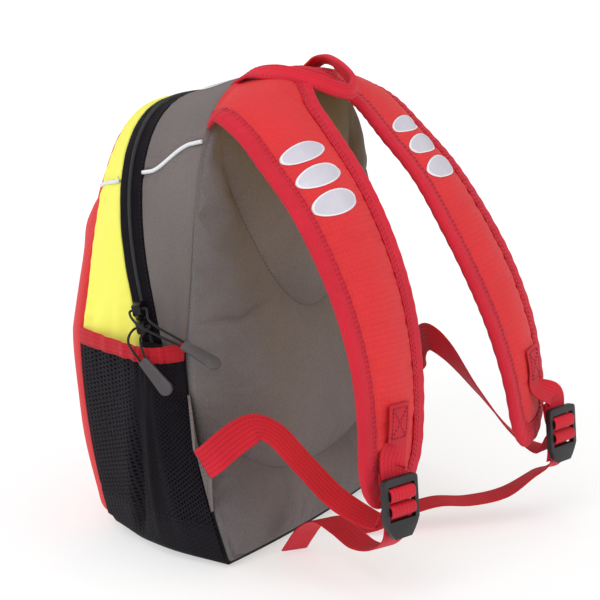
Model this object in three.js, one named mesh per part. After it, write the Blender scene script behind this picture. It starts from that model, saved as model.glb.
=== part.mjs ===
// A child's backpack standing upright, in millimetres: +Z up, front facing -Y, padded back facing +Y.
// The origin is on the flat underside of the base. The bag is hollow: every wall is a cloth panel.
import * as THREE from "three";
import { mergeVertices } from "three/addons/utils/BufferGeometryUtils.js";

const { lerp, smoothstep } = THREE.MathUtils;
const vec = (x, y, z) => new THREE.Vector3(x, y, z);

// Cloth, foam and tape
const SEAM_GAP = 0.4; // clear gap between neighbouring pieces
const CLOTH = 1.8; // coated polyester with its lining
const NET = 1.2; // mesh of the side pockets
const BACK_PAD = 8; // foam of the back panel
const PIPING_WIDTH = 3;
const PIPING_RISE = 0.9;
const WEB_WIDTH = 20;
const WEB_THICK = 1.3;

// Seam lines that run from the right foot of the bag over its top to the left foot.
// wide, footWide: half widths at the pocket rim and at the foot. foot, rim, top: heights.
// square: how boxy the arch is (2 is an ellipse). y...: how far back each stage of the line lies.
const seamY = (yFoot, yRim, yMid, yTop) => ({ yFoot, yRim, yMid, yTop });
const SEAMS = [
  { wide: 109, footWide: 97, foot: 4, rim: 142, top: 301, square: 3.4, ...seamY(60, 38, 42, 31) },
  { wide: 112, footWide: 97, foot: 7, rim: 144, top: 285.5, square: 2.7, ...seamY(24, 23, -5, -23) },
  { wide: 112, footWide: 95, foot: 8, rim: 144, top: 282.5, square: 2.6, ...seamY(7, 7, -23, -41) },
  { wide: 101, footWide: 82, foot: 12, rim: 139, top: 274, square: 2.1, ...seamY(-45, -49, -45, -60) },
];
const BACK = 0;
const ZIP_REAR = 1;
const ZIP_FRONT = 2;
const FRONT = 3;
const MID_SHARE = 0.52; // where along the arch yMid is reached
const TOP_ROUND = 0.16; // how broadly the seam lines turn over the top, as a share of the arch

// Domes of the two large panels
const FRONT_CENTRE = vec(0, -90, 128);
const FRONT_FULLNESS = 1.75;
const FRONT_CORNER = { station: 1.55, spread: 0.3, slack: 0.5 }; // its upper corners are flatter
const FRONT_FOOT_BOW = -7;
const BACK_CENTRE = vec(0, 73, 126);
const BACK_FULLNESS = { low: 1.9, high: 1.3 }; // how full the padding is at its lower and upper rim
const BACK_FOOT_BOW = 5;
const CUSHION_DEPTH = 3;
const CUSHION_BLUR = 9;

// Stations along a seam line: 0 right foot, 1 right pocket rim, 2 top, 3 left pocket rim, 4 left foot
const RIGHT_FOOT = 0;
const RIGHT_RIM = 1;
const LEFT_RIM = 3;
const LEFT_FOOT = 4;
const ARCH_LENGTH = 215; // mean length of one station above the rim
const STATION_GAP = SEAM_GAP / ARCH_LENGTH;

const RED = { color: 0xd8383a, roughness: 0.75 };
const TAPE_RED = { color: 0xcb2740, roughness: 0.7 };
const YELLOW = { color: 0xfff04a, roughness: 0.75 };
const LINING_YELLOW = { color: 0xf2b90f, roughness: 0.85 };
const GREY = { color: 0x6c6663, roughness: 0.8 };
const BLACK = { color: 0x26222a, roughness: 0.8 };
const PLASTIC = { color: 0x2b2d31, roughness: 0.45 };
const TAB_GREY = { color: 0x6a686c, roughness: 0.5 };
const METAL_BLACK = { color: 0x222226, roughness: 0.4, metalness: 0.6 };
const WHITE = { color: 0xeef0f2, roughness: 0.4 };

const bag = new THREE.Group();
bag.name = "kids_backpack";

function add(name, geometry, finish) {
  const material = new THREE.MeshStandardMaterial({ metalness: 0, ...finish });
  const mesh = new THREE.Mesh(geometry, material);
  mesh.name = name;
  bag.add(mesh);
  return mesh;
}

// Moves each corner of a geometry, joins corners that meet and turns its faces outward.
function reshape(geometry, place) {
  const position = geometry.getAttribute("position");
  const corner = vec(0, 0, 0);
  for (let i = 0; i < position.count; i += 1) {
    const moved = place(corner.fromBufferAttribute(position, i));
    position.setXYZ(i, moved.x, moved.y, moved.z);
  }
  geometry.deleteAttribute("normal");
  geometry.deleteAttribute("uv");
  const joined = mergeVertices(geometry, 2e-3);
  return facingOut(joined);
}

function facingOut(geometry) {
  const position = geometry.getAttribute("position");
  const index = Array.from(geometry.getIndex().array);
  const kept = [];
  const [a, b, c] = [vec(0, 0, 0), vec(0, 0, 0), vec(0, 0, 0)];
  let volume = 0;
  for (let i = 0; i < index.length; i += 3) {
    const [p, q, r] = index.slice(i, i + 3);
    if (p !== q && q !== r && p !== r) {
      kept.push([p, q, r]);
      a.fromBufferAttribute(position, p);
      b.fromBufferAttribute(position, q);
      c.fromBufferAttribute(position, r);
      volume += a.dot(b.cross(c));
    }
  }
  const turned = volume < 0 ? kept.map(([p, q, r]) => [p, r, q]) : kept;
  geometry.setIndex(turned.flat());
  geometry.computeVertexNormals();
  return geometry;
}

// A box of columns by rows cells bent into a panel: place gets u, v along it and w from inside to outside.
function bentBox(columns, rows, place) {
  const box = new THREE.BoxGeometry(1, 1, 1, columns, rows, 1);
  return reshape(box, (p) => place(p.x + 0.5, p.y + 0.5, p.z + 0.5));
}

// A round disc bent into a panel: turn goes round it, reach from its middle to its rim.
function bentDisc(columns, reaches, place) {
  const outside = reaches.map((reach) => new THREE.Vector2(reach, 0.5));
  const inside = reaches.map((reach) => new THREE.Vector2(reach, -0.5)).reverse();
  const disc = new THREE.LatheGeometry([...outside, ...inside], columns);
  return reshape(disc, (p) => {
    const turn = Math.atan2(p.x, p.z) / (2 * Math.PI);
    return place((turn + 1) % 1, Math.hypot(p.x, p.z), p.y + 0.5);
  });
}

// Rings of a disc, closer together towards its rim.
function ringReaches(rings) {
  return Array.from({ length: rings + 1 }, (_, i) => Math.sin((i / rings) * (Math.PI / 2)));
}

// The shell of the bag

function archPoints(seam) {
  const steps = 240;
  const points = [];
  for (let i = 0; i <= steps; i += 1) {
    const angle = (i / steps) * (Math.PI / 2);
    const across = Math.pow(Math.max(Math.cos(angle), 0), 2 / seam.square);
    const up = Math.pow(Math.sin(angle), 2 / seam.square);
    points.push(new THREE.Vector2(seam.wide * across, lerp(seam.rim, seam.top, up)));
  }
  return points;
}

for (const seam of SEAMS) {
  const points = archPoints(seam);
  const lengths = [0];
  points.slice(1).forEach((p, i) => lengths.push(lengths[i] + p.distanceTo(points[i])));
  seam.arch = { points, lengths, total: lengths.at(-1) };
}

function alongArch(seam, share) {
  const { points, lengths, total } = seam.arch;
  const goal = share * total;
  let i = lengths.findIndex((length) => length >= goal);
  i = Math.max(i, 1);
  const part = (goal - lengths[i - 1]) / (lengths[i] - lengths[i - 1]);
  return points[i - 1].clone().lerp(points[i], part);
}

// Parabola through three values at 0, middle and 1.
function throughThree(first, middleAt, middle, last, share) {
  const bend = (middle - lerp(first, last, middleAt)) / (middleAt * (1 - middleAt));
  return lerp(first, last, share) + bend * share * (1 - share);
}

// Share of the arch, eased so that a seam line turns over the top without a corner.
function roundedShare(share) {
  const round = (left) => Math.hypot(left, TOP_ROUND) - TOP_ROUND;
  return 1 - round(1 - share) / round(1);
}

function seamPoint(seam, station) {
  if (station > 2) {
    const twin = seamPoint(seam, 4 - station);
    return vec(-twin.x, twin.y, twin.z);
  }
  if (station < 1) {
    const down = 1 - station;
    const x = seam.wide - (seam.wide - seam.footWide) * down ** 2;
    const y = seam.yRim + (seam.yFoot - seam.yRim) * down ** 1.6;
    return vec(x, y, lerp(seam.rim, seam.foot, down));
  }
  const share = station - 1;
  const arch = alongArch(seam, share);
  const mid = roundedShare(MID_SHARE);
  return vec(arch.x, throughThree(seam.yRim, mid, seam.yMid, seam.yTop, roundedShare(share)), arch.y);
}

// Point of the shell between the seam lines: across is 0 at the back seam, 1 and 2 at the zip, 3 in front.
function shellPoint(station, across) {
  const line = new THREE.CatmullRomCurve3(SEAMS.map((seam) => seamPoint(seam, station)));
  return line.getPoint(across / FRONT);
}

function shellNormal(station, across) {
  const step = 0.01;
  const ahead = shellPoint(Math.min(station + step, LEFT_FOOT), across);
  const along = ahead.sub(shellPoint(Math.max(station - step, RIGHT_FOOT), across));
  const beyond = shellPoint(station, Math.min(across + step, FRONT));
  const over = beyond.sub(shellPoint(station, Math.max(across - step, BACK)));
  return along.cross(over).normalize();
}

function offShell(station, across, out) {
  return shellPoint(station, across).addScaledVector(shellNormal(station, across), out);
}

// A cloth panel on the shell between two stations and two seam lines. The stations may vary across it.
function shellPanel(columns, rows, { from, to, left, right, outside = 0, inside = -CLOTH }) {
  return bentBox(columns, rows, (u, v, w) => {
    const across = lerp(left, right, v);
    const station = lerp(from(across), to(across), u);
    return offShell(station, across, lerp(inside, outside, w));
  });
}

const fixed = (value) => () => value;
const mirrored = (stationOf) => (across) => 4 - stationOf(across);
const shifted = (stationOf, mm) => (across) => stationOf(across) + mm / ARCH_LENGTH;

// Curved seams with piping: one behind the zip, one in front of it
const rearSeam = (across) => lerp(1.55, 1.5, smoothstep(across, 0.1, 0.95));
const frontSeam = (across) => lerp(1.475, 1.5, smoothstep(across, 2.1, 2.95));
const PIPING_ROOM = PIPING_WIDTH / 2 + SEAM_GAP;

const WALLS = [
  { name: "rear_gusset", seam: rearSeam, left: BACK, right: ZIP_REAR - 0.01, rows: 5, finish: GREY },
  {
    name: "front_gusset",
    seam: frontSeam,
    left: ZIP_FRONT + 0.01,
    right: FRONT - 0.008,
    rows: 5,
    finish: YELLOW,
  },
];
for (const { name, seam, left, right, rows, finish } of WALLS) {
  const low = shifted(seam, -PIPING_ROOM);
  const high = shifted(seam, PIPING_ROOM);
  const start = fixed(RIGHT_RIM + STATION_GAP);
  add(`${name}_right`, shellPanel(6, rows, { from: start, to: low, left, right }), finish);
  const leftWall = { from: mirrored(start), to: mirrored(low), left, right };
  add(`${name}_left`, shellPanel(6, rows, leftWall), finish);
  add(`${name}_top`, shellPanel(12, rows, { from: high, to: mirrored(high), left, right }), finish);
}

const PIPINGS = [
  { name: "piping_rear", seam: rearSeam, left: BACK, right: ZIP_REAR - 0.01 },
  { name: "piping_front", seam: frontSeam, left: ZIP_FRONT + 0.01, right: FRONT - 0.008 },
];
for (const { name, seam, left, right } of PIPINGS) {
  const low = shifted(seam, -PIPING_WIDTH / 2);
  const high = shifted(seam, PIPING_WIDTH / 2);
  const cord = { left, right, outside: PIPING_RISE, inside: -CLOTH };
  add(`${name}_right`, shellPanel(1, 5, { ...cord, from: low, to: high }), WHITE);
  add(`${name}_left`, shellPanel(1, 5, { ...cord, from: mirrored(low), to: mirrored(high) }), WHITE);
}

// Zip: two tapes and the closed coil between them

const ZIP_START = fixed(RIGHT_RIM + STATION_GAP);
const ZIP_END = fixed(LEFT_RIM - STATION_GAP);
const ZIP_STRIPS = [
  { name: "zip_tape_rear", left: ZIP_REAR + 0.02, right: 1.4, outside: -0.3, inside: -1.5 },
  { name: "zip_coil", left: 1.43, right: 1.57, outside: 0.9, inside: -1.5 },
  { name: "zip_tape_front", left: 1.6, right: ZIP_FRONT - 0.02, outside: -0.3, inside: -1.5 },
];
for (const { name, ...strip } of ZIP_STRIPS) {
  add(name, shellPanel(22, 1, { from: ZIP_START, to: ZIP_END, ...strip }), BLACK);
}

// Front panel, back panel and base

const RIM_COLUMNS = 60;
const HOOP_SHARE = 0.8; // share of a panel's rim that follows its seam line; the rest is its lower edge

function footEdge(seam, bow, share) {
  const x = lerp(-seam.footWide, seam.footWide, share);
  return vec(x, seam.yFoot + bow * (1 - (2 * share - 1) ** 2), seam.foot);
}

function domePoint(edge, centre, fullness, reach) {
  const rise = Math.pow(Math.max(1 - Math.pow(reach, fullness), 0), 1 / fullness);
  return vec(lerp(centre.x, edge.x, reach), lerp(edge.y, centre.y, rise), lerp(centre.z, edge.z, reach));
}

// Pulls a rim point towards the middle of its panel, seen from the front.
function drawnIn(edge, centre, amount) {
  const inward = vec(centre.x - edge.x, 0, centre.z - edge.z).setLength(amount);
  return edge.clone().add(inward);
}

function frontRim(turn) {
  if (turn < HOOP_SHARE) {
    return seamPoint(SEAMS[FRONT], (LEFT_FOOT * turn) / HOOP_SHARE);
  }
  return footEdge(SEAMS[FRONT], FRONT_FOOT_BOW, (turn - HOOP_SHARE) / (1 - HOOP_SHARE));
}

function frontFullness(turn) {
  const station = (LEFT_FOOT * turn) / HOOP_SHARE;
  const fromCorner = Math.abs(Math.abs(station - 2) - (2 - FRONT_CORNER.station)) / FRONT_CORNER.spread;
  return FRONT_FULLNESS - FRONT_CORNER.slack * Math.exp(-(fromCorner ** 2));
}

const FRONT_INNER = FRONT_CENTRE.clone().add(vec(0, CLOTH, 0));
const frontPanel = bentDisc(RIM_COLUMNS, ringReaches(6), (turn, reach, w) => {
  const edge = frontRim(turn);
  const fullness = frontFullness(turn);
  if (w > 0.5) {
    return domePoint(drawnIn(edge, FRONT_CENTRE, 0.2), FRONT_CENTRE, fullness, reach);
  }
  return domePoint(drawnIn(edge, FRONT_CENTRE, CLOTH), FRONT_INNER, fullness, reach);
});
add("front_panel", frontPanel, RED);

// The back panel sits inside the rear edge of the shell.
const BACK_INSET = CLOTH + SEAM_GAP + 0.5;
const BACK_PAD_SHARE = 0.17; // how far across the shell its foam reaches

function backRim(turn, across, deep) {
  if (turn < HOOP_SHARE) {
    return offShell((LEFT_FOOT * turn) / HOOP_SHARE, across, -BACK_INSET);
  }
  const edge = footEdge(SEAMS[BACK], BACK_FOOT_BOW, (turn - HOOP_SHARE) / (1 - HOOP_SHARE));
  const corner = offShell(RIGHT_FOOT, across, -BACK_INSET);
  edge.x *= corner.x / SEAMS[BACK].footWide;
  return edge.add(vec(0, corner.y - SEAMS[BACK].yFoot, deep));
}

// Stitched lines that divide the padding into an upper shield and a lower two-lobed cushion: heights at x.
const CUSHION_LINES = [
  { reach: 84, height: (x) => 152 + 110 * (x / 82) ** 2.2 },
  { reach: 100, height: (x) => 142 + 23 * (1 - ((x - 62) / 62) ** 2) },
  { reach: 96, height: (x) => 47 + 21 * (x / 77) ** 2.5 },
];

function cushionDent(x, z) {
  const side = Math.abs(x);
  let dent = 0;
  for (const { reach, height } of CUSHION_LINES) {
    const slope = (height(side + 1) - height(Math.max(side - 1, 0))) / 2;
    const away = Math.abs(z - height(side)) / Math.hypot(1, slope);
    const fade = 1 - smoothstep(side, reach - 8, reach);
    dent = Math.max(dent, fade * Math.exp(-((away / CUSHION_BLUR) ** 2)));
  }
  return CUSHION_DEPTH * dent;
}

// The padding is fuller low down than under the straps.
function backFullness(edge) {
  return lerp(BACK_FULLNESS.low, BACK_FULLNESS.high, smoothstep(edge.z, 60, 280));
}

const BACK_INNER = BACK_CENTRE.clone().add(vec(0, -BACK_PAD, 0));
const backPanel = bentDisc(RIM_COLUMNS, ringReaches(6), (turn, reach, w) => {
  if (w > 0.5) {
    const edge = backRim(turn, 0, 0);
    const skin = domePoint(edge, BACK_CENTRE, backFullness(edge), reach);
    skin.y -= cushionDent(skin.x, skin.z) * (1 - reach ** 6);
    return skin;
  }
  const inner = backRim(turn, BACK_PAD_SHARE, 1);
  return domePoint(inner, BACK_INNER, backFullness(inner), reach);
});
add("back_panel", backPanel, GREY);

// The base is a shallow pan: flat in the middle, with a low rim that meets the walls.
// spread, spreadFront: how far each ring reaches towards the rim, and at the front, where the base curls up.
const BASE_RINGS = [
  { reach: 0, spread: 0, spreadFront: 0, lift: 0 },
  { reach: 0.4, spread: 0.5, spreadFront: 0.4, lift: 0 },
  { reach: 0.7, spread: 0.94, spreadFront: 0.74, lift: 0 },
  { reach: 0.85, spread: 0.985, spreadFront: 0.93, lift: 0.35 },
  { reach: 1, spread: 1, spreadFront: 1, lift: 1 },
];
const BASE_CENTRE = vec(0, 6, 0);
const BASE_SIDE_SHARE = 0.2; // each side of the base takes this share of its rim, the front and back 0.3

function baseRim(turn) {
  if (turn < 0.2) {
    return shellPoint(RIGHT_FOOT, lerp(BACK, FRONT, turn / BASE_SIDE_SHARE));
  }
  if (turn < 0.5) {
    return footEdge(SEAMS[FRONT], FRONT_FOOT_BOW, 1 - (turn - 0.2) / 0.3);
  }
  if (turn < 0.7) {
    return shellPoint(LEFT_FOOT, lerp(FRONT, BACK, (turn - 0.5) / BASE_SIDE_SHARE));
  }
  return footEdge(SEAMS[BACK], BACK_FOOT_BOW, (turn - 0.7) / 0.3);
}

const base = bentDisc(30, BASE_RINGS.map((ring) => ring.reach), (turn, reach, w) => {
  const ring = BASE_RINGS.find((row) => Math.abs(row.reach - reach) < 1e-6);
  const rim = baseRim(turn);
  const inset = w > 0.5 ? 0 : CLOTH;
  const flat = vec(rim.x - BASE_CENTRE.x, rim.y - BASE_CENTRE.y, 0);
  const frontShare = smoothstep(-flat.y / flat.length(), 0.2, 0.9);
  const spread = lerp(ring.spread, ring.spreadFront, frontShare);
  flat.setLength(Math.max(flat.length() - inset, 0)).multiplyScalar(spread);
  const height = lerp(inset, rim.z - SEAM_GAP, ring.lift);
  return vec(BASE_CENTRE.x + flat.x, BASE_CENTRE.y + flat.y, height);
});
add("base", base, BLACK);

// Side panels and their mesh pockets

const POCKET_STAND_OFF = 0.5; // pocket seam clear of the wall behind it
const POCKET_BULGE = 9; // how far the rim stands out at its middle
const POCKET_TOP = 0.955; // station where the net ends and its binding starts
const BINDING_TOP = 1.03;
const POCKET_FOLDS = [
  { across: 0.95, lean: 0.5, depth: 2.6, wide: 0.2 },
  { across: 1.75, lean: -0.35, depth: 2.2, wide: 0.22 },
  { across: 2.4, lean: -0.2, depth: 1.6, wide: 0.18 },
];

function pocketOut(station, across) {
  const belly = Math.sin((Math.PI * across) / FRONT) ** 0.8;
  let out = POCKET_BULGE * belly * (0.35 + 0.65 * Math.min(station, 1));
  for (const { across: at, lean, depth, wide } of POCKET_FOLDS) {
    const away = (across - at - lean * (station - 0.5)) / wide;
    out += depth * belly * Math.exp(-(away ** 2)) * Math.sin(Math.PI * Math.min(station, 1));
  }
  return POCKET_STAND_OFF + out;
}

function pocketSheet(columns, rows, { from, to, side, outside, inside }) {
  return bentBox(columns, rows, (u, v, w) => {
    const station = lerp(from, to, u);
    const across = lerp(0.03, FRONT - 0.03, v);
    const out = pocketOut(station, across) + lerp(inside, outside, w);
    return offShell(side === "right" ? station : 4 - station, across, out);
  });
}

for (const side of ["right", "left"]) {
  const flip = side === "right" ? (f) => f : mirrored;
  const wall = { from: flip(fixed(0.003)), to: flip(fixed(1 - 0.003)), left: BACK, right: FRONT - 0.008 };
  add(`side_panel_${side}`, shellPanel(8, 6, wall), BLACK);
  const net = { from: 0.006, to: POCKET_TOP - 0.003, side, outside: NET, inside: 0 };
  add(`pocket_${side}`, pocketSheet(7, 12, net), BLACK);
  const tape = { from: POCKET_TOP, to: BINDING_TOP, side, outside: NET + 0.6, inside: -0.1 };
  add(`pocket_binding_${side}`, pocketSheet(1, 12, tape), TAPE_RED);
}

// Bands: webbing, straps and handle follow rows of points, each with a direction for the band's width.
function bandPath(rows) {
  const spine = new THREE.CatmullRomCurve3(rows.map((row) => vec(...row.at)));
  const widths = new THREE.CatmullRomCurve3(rows.map((row) => vec(...row.across)));
  return (share) => {
    const along = spine.getTangent(share);
    const width = widths.getPoint(share);
    width.addScaledVector(along, -width.dot(along)).normalize();
    return { at: spine.getPoint(share), along, width, face: width.clone().cross(along) };
  };
}

function band(rows, stepsPerRow, width, thick, columns = 1) {
  const path = bandPath(rows);
  return bentBox(stepsPerRow * (rows.length - 1), columns, (u, v, w) => {
    const frame = path(u);
    const point = frame.at.clone().addScaledVector(frame.width, (v - 0.5) * width);
    return point.addScaledVector(frame.face, (w - 0.5) * thick);
  });
}

// Shoulder straps: middle line of the right strap from the top seam to its free end.
const STRAP_ROWS = [
  { at: [57, 40, 294.5], across: [0.93, 0.13, -0.33], width: 68 },
  { at: [59, 56, 291], across: [0.94, 0.02, -0.3], width: 66 },
  { at: [61.5, 75, 280], across: [0.95, -0.14, -0.24], width: 65 },
  { at: [63.5, 94, 261], across: [0.95, -0.22, -0.17], width: 64 },
  { at: [65.5, 115, 237], across: [0.96, -0.22, -0.13], width: 63 },
  { at: [67, 134, 206], across: [0.97, -0.2, -0.08], width: 63 },
  { at: [69.5, 149.5, 172], across: [0.98, -0.17, -0.03], width: 62 },
  { at: [72.5, 159.5, 136], across: [0.99, -0.13, 0], width: 60 },
  { at: [75.5, 163.5, 97], across: [0.99, -0.12, 0], width: 57 },
  { at: [78, 162, 55], across: [0.99, -0.12, 0], width: 53 },
];
const STRAP_LENGTH = 297; // along that line, near enough to turn shares into millimetres
const STRAP_TIP = 3; // the foam ends this far before the line does, inside the tape
const STRAP_END_ROUND = 24; // length of the rounded end
const STRAP_EDGE = 2; // half thickness of the sewn edge
const STRAP_SEWN_EDGE = 0.6; // and at the top seam
const STRAP_CROWN = 4.2; // extra foam along the middle
const STRAP_FLANGE = 10; // width of the flat sewn edge
const CROWN_START = 40; // the foam thins towards the top seam
const SEAM_BLEND = 48; // length over which the strap bends into the top seam
const SEAM_STANDOFF = 3.2; // strap middle above the seam line
const STRAP_SEAM = { inner: 1.9, outer: 1.605 }; // stations of the back seam where its end is sewn
const STRAP_STEPS = 15;
const STRAP_COLUMNS = [0, 0.55, 1, 1]; // shares of the padded half width where the foam's facets meet

// The left strap hangs a little further back than the right one.
const SIDES = {
  right: { sign: 1, back: 0 },
  left: { sign: -1, back: 24 },
};

function sideRows(rows, { sign, back }) {
  return rows.map((row, i) => {
    const [x, y, z] = row.at;
    const [a, b, c] = row.across;
    const lag = back * (i / (rows.length - 1)) ** 2;
    return { ...row, at: [sign * x, y + lag, z], across: [sign * a, b, c] };
  });
}

// Lengths of the strap's rows: closer together where it bends over the seam; the last row is its flat end.
function rowLength(row) {
  const foot = STRAP_LENGTH - STRAP_TIP;
  return row < STRAP_STEPS ? (foot - STRAP_FLANGE) * (row / (STRAP_STEPS - 1)) ** 1.25 : foot;
}

// A strap as a flat pattern laid along its line: every piece of it is placed by length, x across and n out.
function strapForm(side) {
  const rows = sideRows(STRAP_ROWS, side);
  const path = bandPath(rows);
  const frameAt = (length) => {
    const frame = path(length / STRAP_LENGTH);
    frame.face.multiplyScalar(side.sign);
    return frame;
  };
  const halfWidth = (length) => {
    const place = Math.min(length / STRAP_LENGTH, 1) * (rows.length - 1);
    const i = Math.min(Math.floor(place), rows.length - 2);
    const straight = lerp(rows[i].width, rows[i + 1].width, place - i) / 2;
    const end = (length - STRAP_LENGTH + STRAP_TIP + STRAP_END_ROUND) / STRAP_END_ROUND;
    return straight * Math.sqrt(1 - 0.86 * Math.max(end, 0) ** 2);
  };
  const point = (length, x, n) => {
    const frame = frameAt(length);
    const free = frame.at.clone().addScaledVector(frame.width, x);
    if (length < SEAM_BLEND) {
      const start = path(0);
      const rigid = start.at.clone().addScaledVector(start.width, x);
      const share = 0.5 + x / rows[0].width;
      const station = lerp(STRAP_SEAM.inner, STRAP_SEAM.outer, share);
      const sewn = shellPoint(side.sign > 0 ? station : 4 - station, BACK);
      sewn.add(vec(0, 0.94, 0.34).multiplyScalar(SEAM_STANDOFF));
      free.addScaledVector(sewn.sub(rigid), (1 - length / SEAM_BLEND) ** 2);
    }
    return free.addScaledVector(frame.face, n);
  };
  const edge = (length) => lerp(STRAP_SEWN_EDGE, STRAP_EDGE, smoothstep(length, 0, SEAM_BLEND));
  const top = (length, x) => {
    const inner = Math.max(halfWidth(length) - STRAP_FLANGE, 1);
    const share = Math.min(Math.abs(x) / inner, 1);
    const fromEnd = STRAP_LENGTH - STRAP_TIP - STRAP_FLANGE - length;
    const foam = STRAP_CROWN * smoothstep(length, 0, CROWN_START) * smoothstep(fromEnd, 0, CROWN_START);
    return edge(length) + foam * Math.sqrt(1 - share ** 2);
  };
  return { point, frameAt, halfWidth, edge, top };
}

const BINDING_THICK = 1;
const BINDING_GRIP = 9; // width of the tape on each face
const BINDING_CLEAR = 0.8;
const SEAM_SLACK = 0.9; // the tape stands off a little more where the strap bends into the seam
const LINING_GAP = 0.45;

// The tape's cross-section, from its edge on the outer face round to its edge on the inner face.
const BINDING_PROFILE = [
  { outward: -BINDING_GRIP, side: 1, thickSide: 0 },
  { outward: BINDING_CLEAR, side: 1, thickSide: 1 },
  { outward: BINDING_CLEAR, side: -1, thickSide: 1 },
  { outward: -BINDING_GRIP, side: -1, thickSide: 0 },
];

// Corners of the strap's flat outline: down its outer edge, across the end and up its inner edge.
const OUTLINE_STEPS = 2 * STRAP_STEPS + 2;

function outline(form, step) {
  if (step > STRAP_STEPS + 1) {
    const twin = outline(form, OUTLINE_STEPS - step);
    return twin.setY(-twin.y);
  }
  const length = rowLength(Math.min(step, STRAP_STEPS));
  return new THREE.Vector2(length, step > STRAP_STEPS ? 0 : form.halfWidth(length));
}

function strapBinding(form) {
  return bentBox(OUTLINE_STEPS, 3, (u, v, w) => {
    const step = Math.round(u * OUTLINE_STEPS);
    const next = outline(form, Math.min(step + 1, OUTLINE_STEPS));
    const along = next.sub(outline(form, Math.max(step - 1, 0)));
    const outward = new THREE.Vector2(-along.y, along.x).normalize();
    const row = BINDING_PROFILE[Math.round(v * 3)];
    const reach = row.outward + row.thickSide * w * BINDING_THICK;
    const place = outline(form, step).addScaledVector(outward, reach);
    const slack = SEAM_SLACK * (1 - smoothstep(place.x, 0, SEAM_BLEND));
    const out = row.side * (STRAP_EDGE + BINDING_CLEAR + slack + w * BINDING_THICK);
    return form.point(Math.max(place.x, 0), place.y, out);
  });
}

// Ladder-lock buckle, standing in its own frame: x across, y up, z out of its face.
const BUCKLE = { width: 27, top: 18.5, tip: -18.5, tipWidth: 13, shoulder: -8, thick: 4, corner: 3 };
const BUCKLE_SLOTS = [
  { low: 10, high: 14 },
  { low: 0.5, high: 6.5 },
  { low: -7.5, high: -3 },
];
const SLOT_HALF = 10.5;

function buckleGeometry() {
  const { width, top, tip, tipWidth, shoulder, thick, corner } = BUCKLE;
  const half = width / 2;
  const shape = new THREE.Shape();
  shape.moveTo(-half + corner, top);
  shape.lineTo(half - corner, top);
  shape.quadraticCurveTo(half, top, half, top - corner);
  shape.lineTo(half, shoulder);
  shape.quadraticCurveTo(half - 3, tip + 4, tipWidth / 2, tip);
  shape.lineTo(-tipWidth / 2, tip);
  shape.quadraticCurveTo(-half + 3, tip + 4, -half, shoulder);
  shape.lineTo(-half, top - corner);
  shape.lineTo(-half + corner / 4, top - corner / 4);
  for (const { low, high } of BUCKLE_SLOTS) {
    const slot = new THREE.Path();
    slot.moveTo(-SLOT_HALF, low);
    slot.lineTo(SLOT_HALF, low);
    slot.lineTo(SLOT_HALF, high);
    slot.lineTo(-SLOT_HALF, high);
    shape.holes.push(slot);
  }
  const solid = new THREE.ExtrudeGeometry(shape, { depth: thick, bevelEnabled: false, curveSegments: 3 });
  solid.translate(0, 0, -thick / 2);
  return reshape(solid, (p) => p.clone());
}

// Where each buckle hangs, which way its face looks and how far its top leans back.
const BUCKLES = {
  right: { at: [90, 178, 62], face: [0.3, 0.95, 0], lean: 0.1 },
  left: { at: [-91, 203, 61], face: [0.25, 0.97, 0], lean: 0.1 },
};

function buckleFrame(side) {
  const { at, face: looks, lean } = BUCKLES[side];
  const up = vec(0, 0, 1).addScaledVector(vec(...looks), -lean).normalize();
  const face = vec(...looks);
  face.addScaledVector(up, -face.dot(up)).normalize();
  return { at: vec(...at), right: up.clone().cross(face), up, face };
}

// Webbing round the buckle, in its own frame: up along it, out of its face.
const TAB_LOOP = [
  { up: 25, out: -4.8 },
  { up: 19, out: -4.4 },
  { up: 15.2, out: -3.9 },
  { up: 12.7, out: -2.8 },
  { up: 12, out: -0.8 },
  { up: 12, out: 1.2 },
  { up: 10.6, out: 3 },
  { up: 8.2, out: 3.4 },
  { up: 5.9, out: 3 },
  { up: 4.6, out: 1.2 },
  { up: 4.7, out: -1.2 },
  { up: 6.2, out: -3.8 },
  { up: 10, out: -5.4 },
  { up: 15, out: -6.2 },
  { up: 21, out: -6.9 },
];
const WEB_THREADING = [
  { up: -13, out: -15 },
  { up: -7, out: -9.5 },
  { up: -1, out: -5.6 },
  { up: 2, out: -2.2 },
  { up: 2.1, out: 1 },
  { up: 0.9, out: 3 },
  { up: -1.3, out: 3.5 },
  { up: -3.4, out: 3 },
  { up: -4.8, out: 1 },
  { up: -5, out: -1.6 },
  { up: -8, out: -4 },
  { up: -14, out: -4.8 },
  { up: -20, out: -7 },
];

function rowsInBuckle(side, rows) {
  const { at, right, up, face } = buckleFrame(side);
  return rows.map((row) => {
    const point = at.clone().addScaledVector(up, row.up).addScaledVector(face, row.out);
    return { at: point.toArray(), across: right.clone().negate().toArray() };
  });
}

// Lengths along the strap where the tab that holds the buckle is sewn on.
const TAB_SEWN = [245, 256, 266];
const TAB_ASIDE = 3; // the tab sits a little towards the outer edge
const TAB_LIFT = 1.3;

function rowsOnStrap(form, { sign }) {
  return TAB_SEWN.map((length) => {
    const out = form.top(length, TAB_ASIDE) + WEB_THICK / 2 + SEAM_GAP + TAB_LIFT;
    const across = form.frameAt(length).width.multiplyScalar(sign);
    return { at: form.point(length, TAB_ASIDE, out).toArray(), across: across.toArray() };
  });
}

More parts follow.
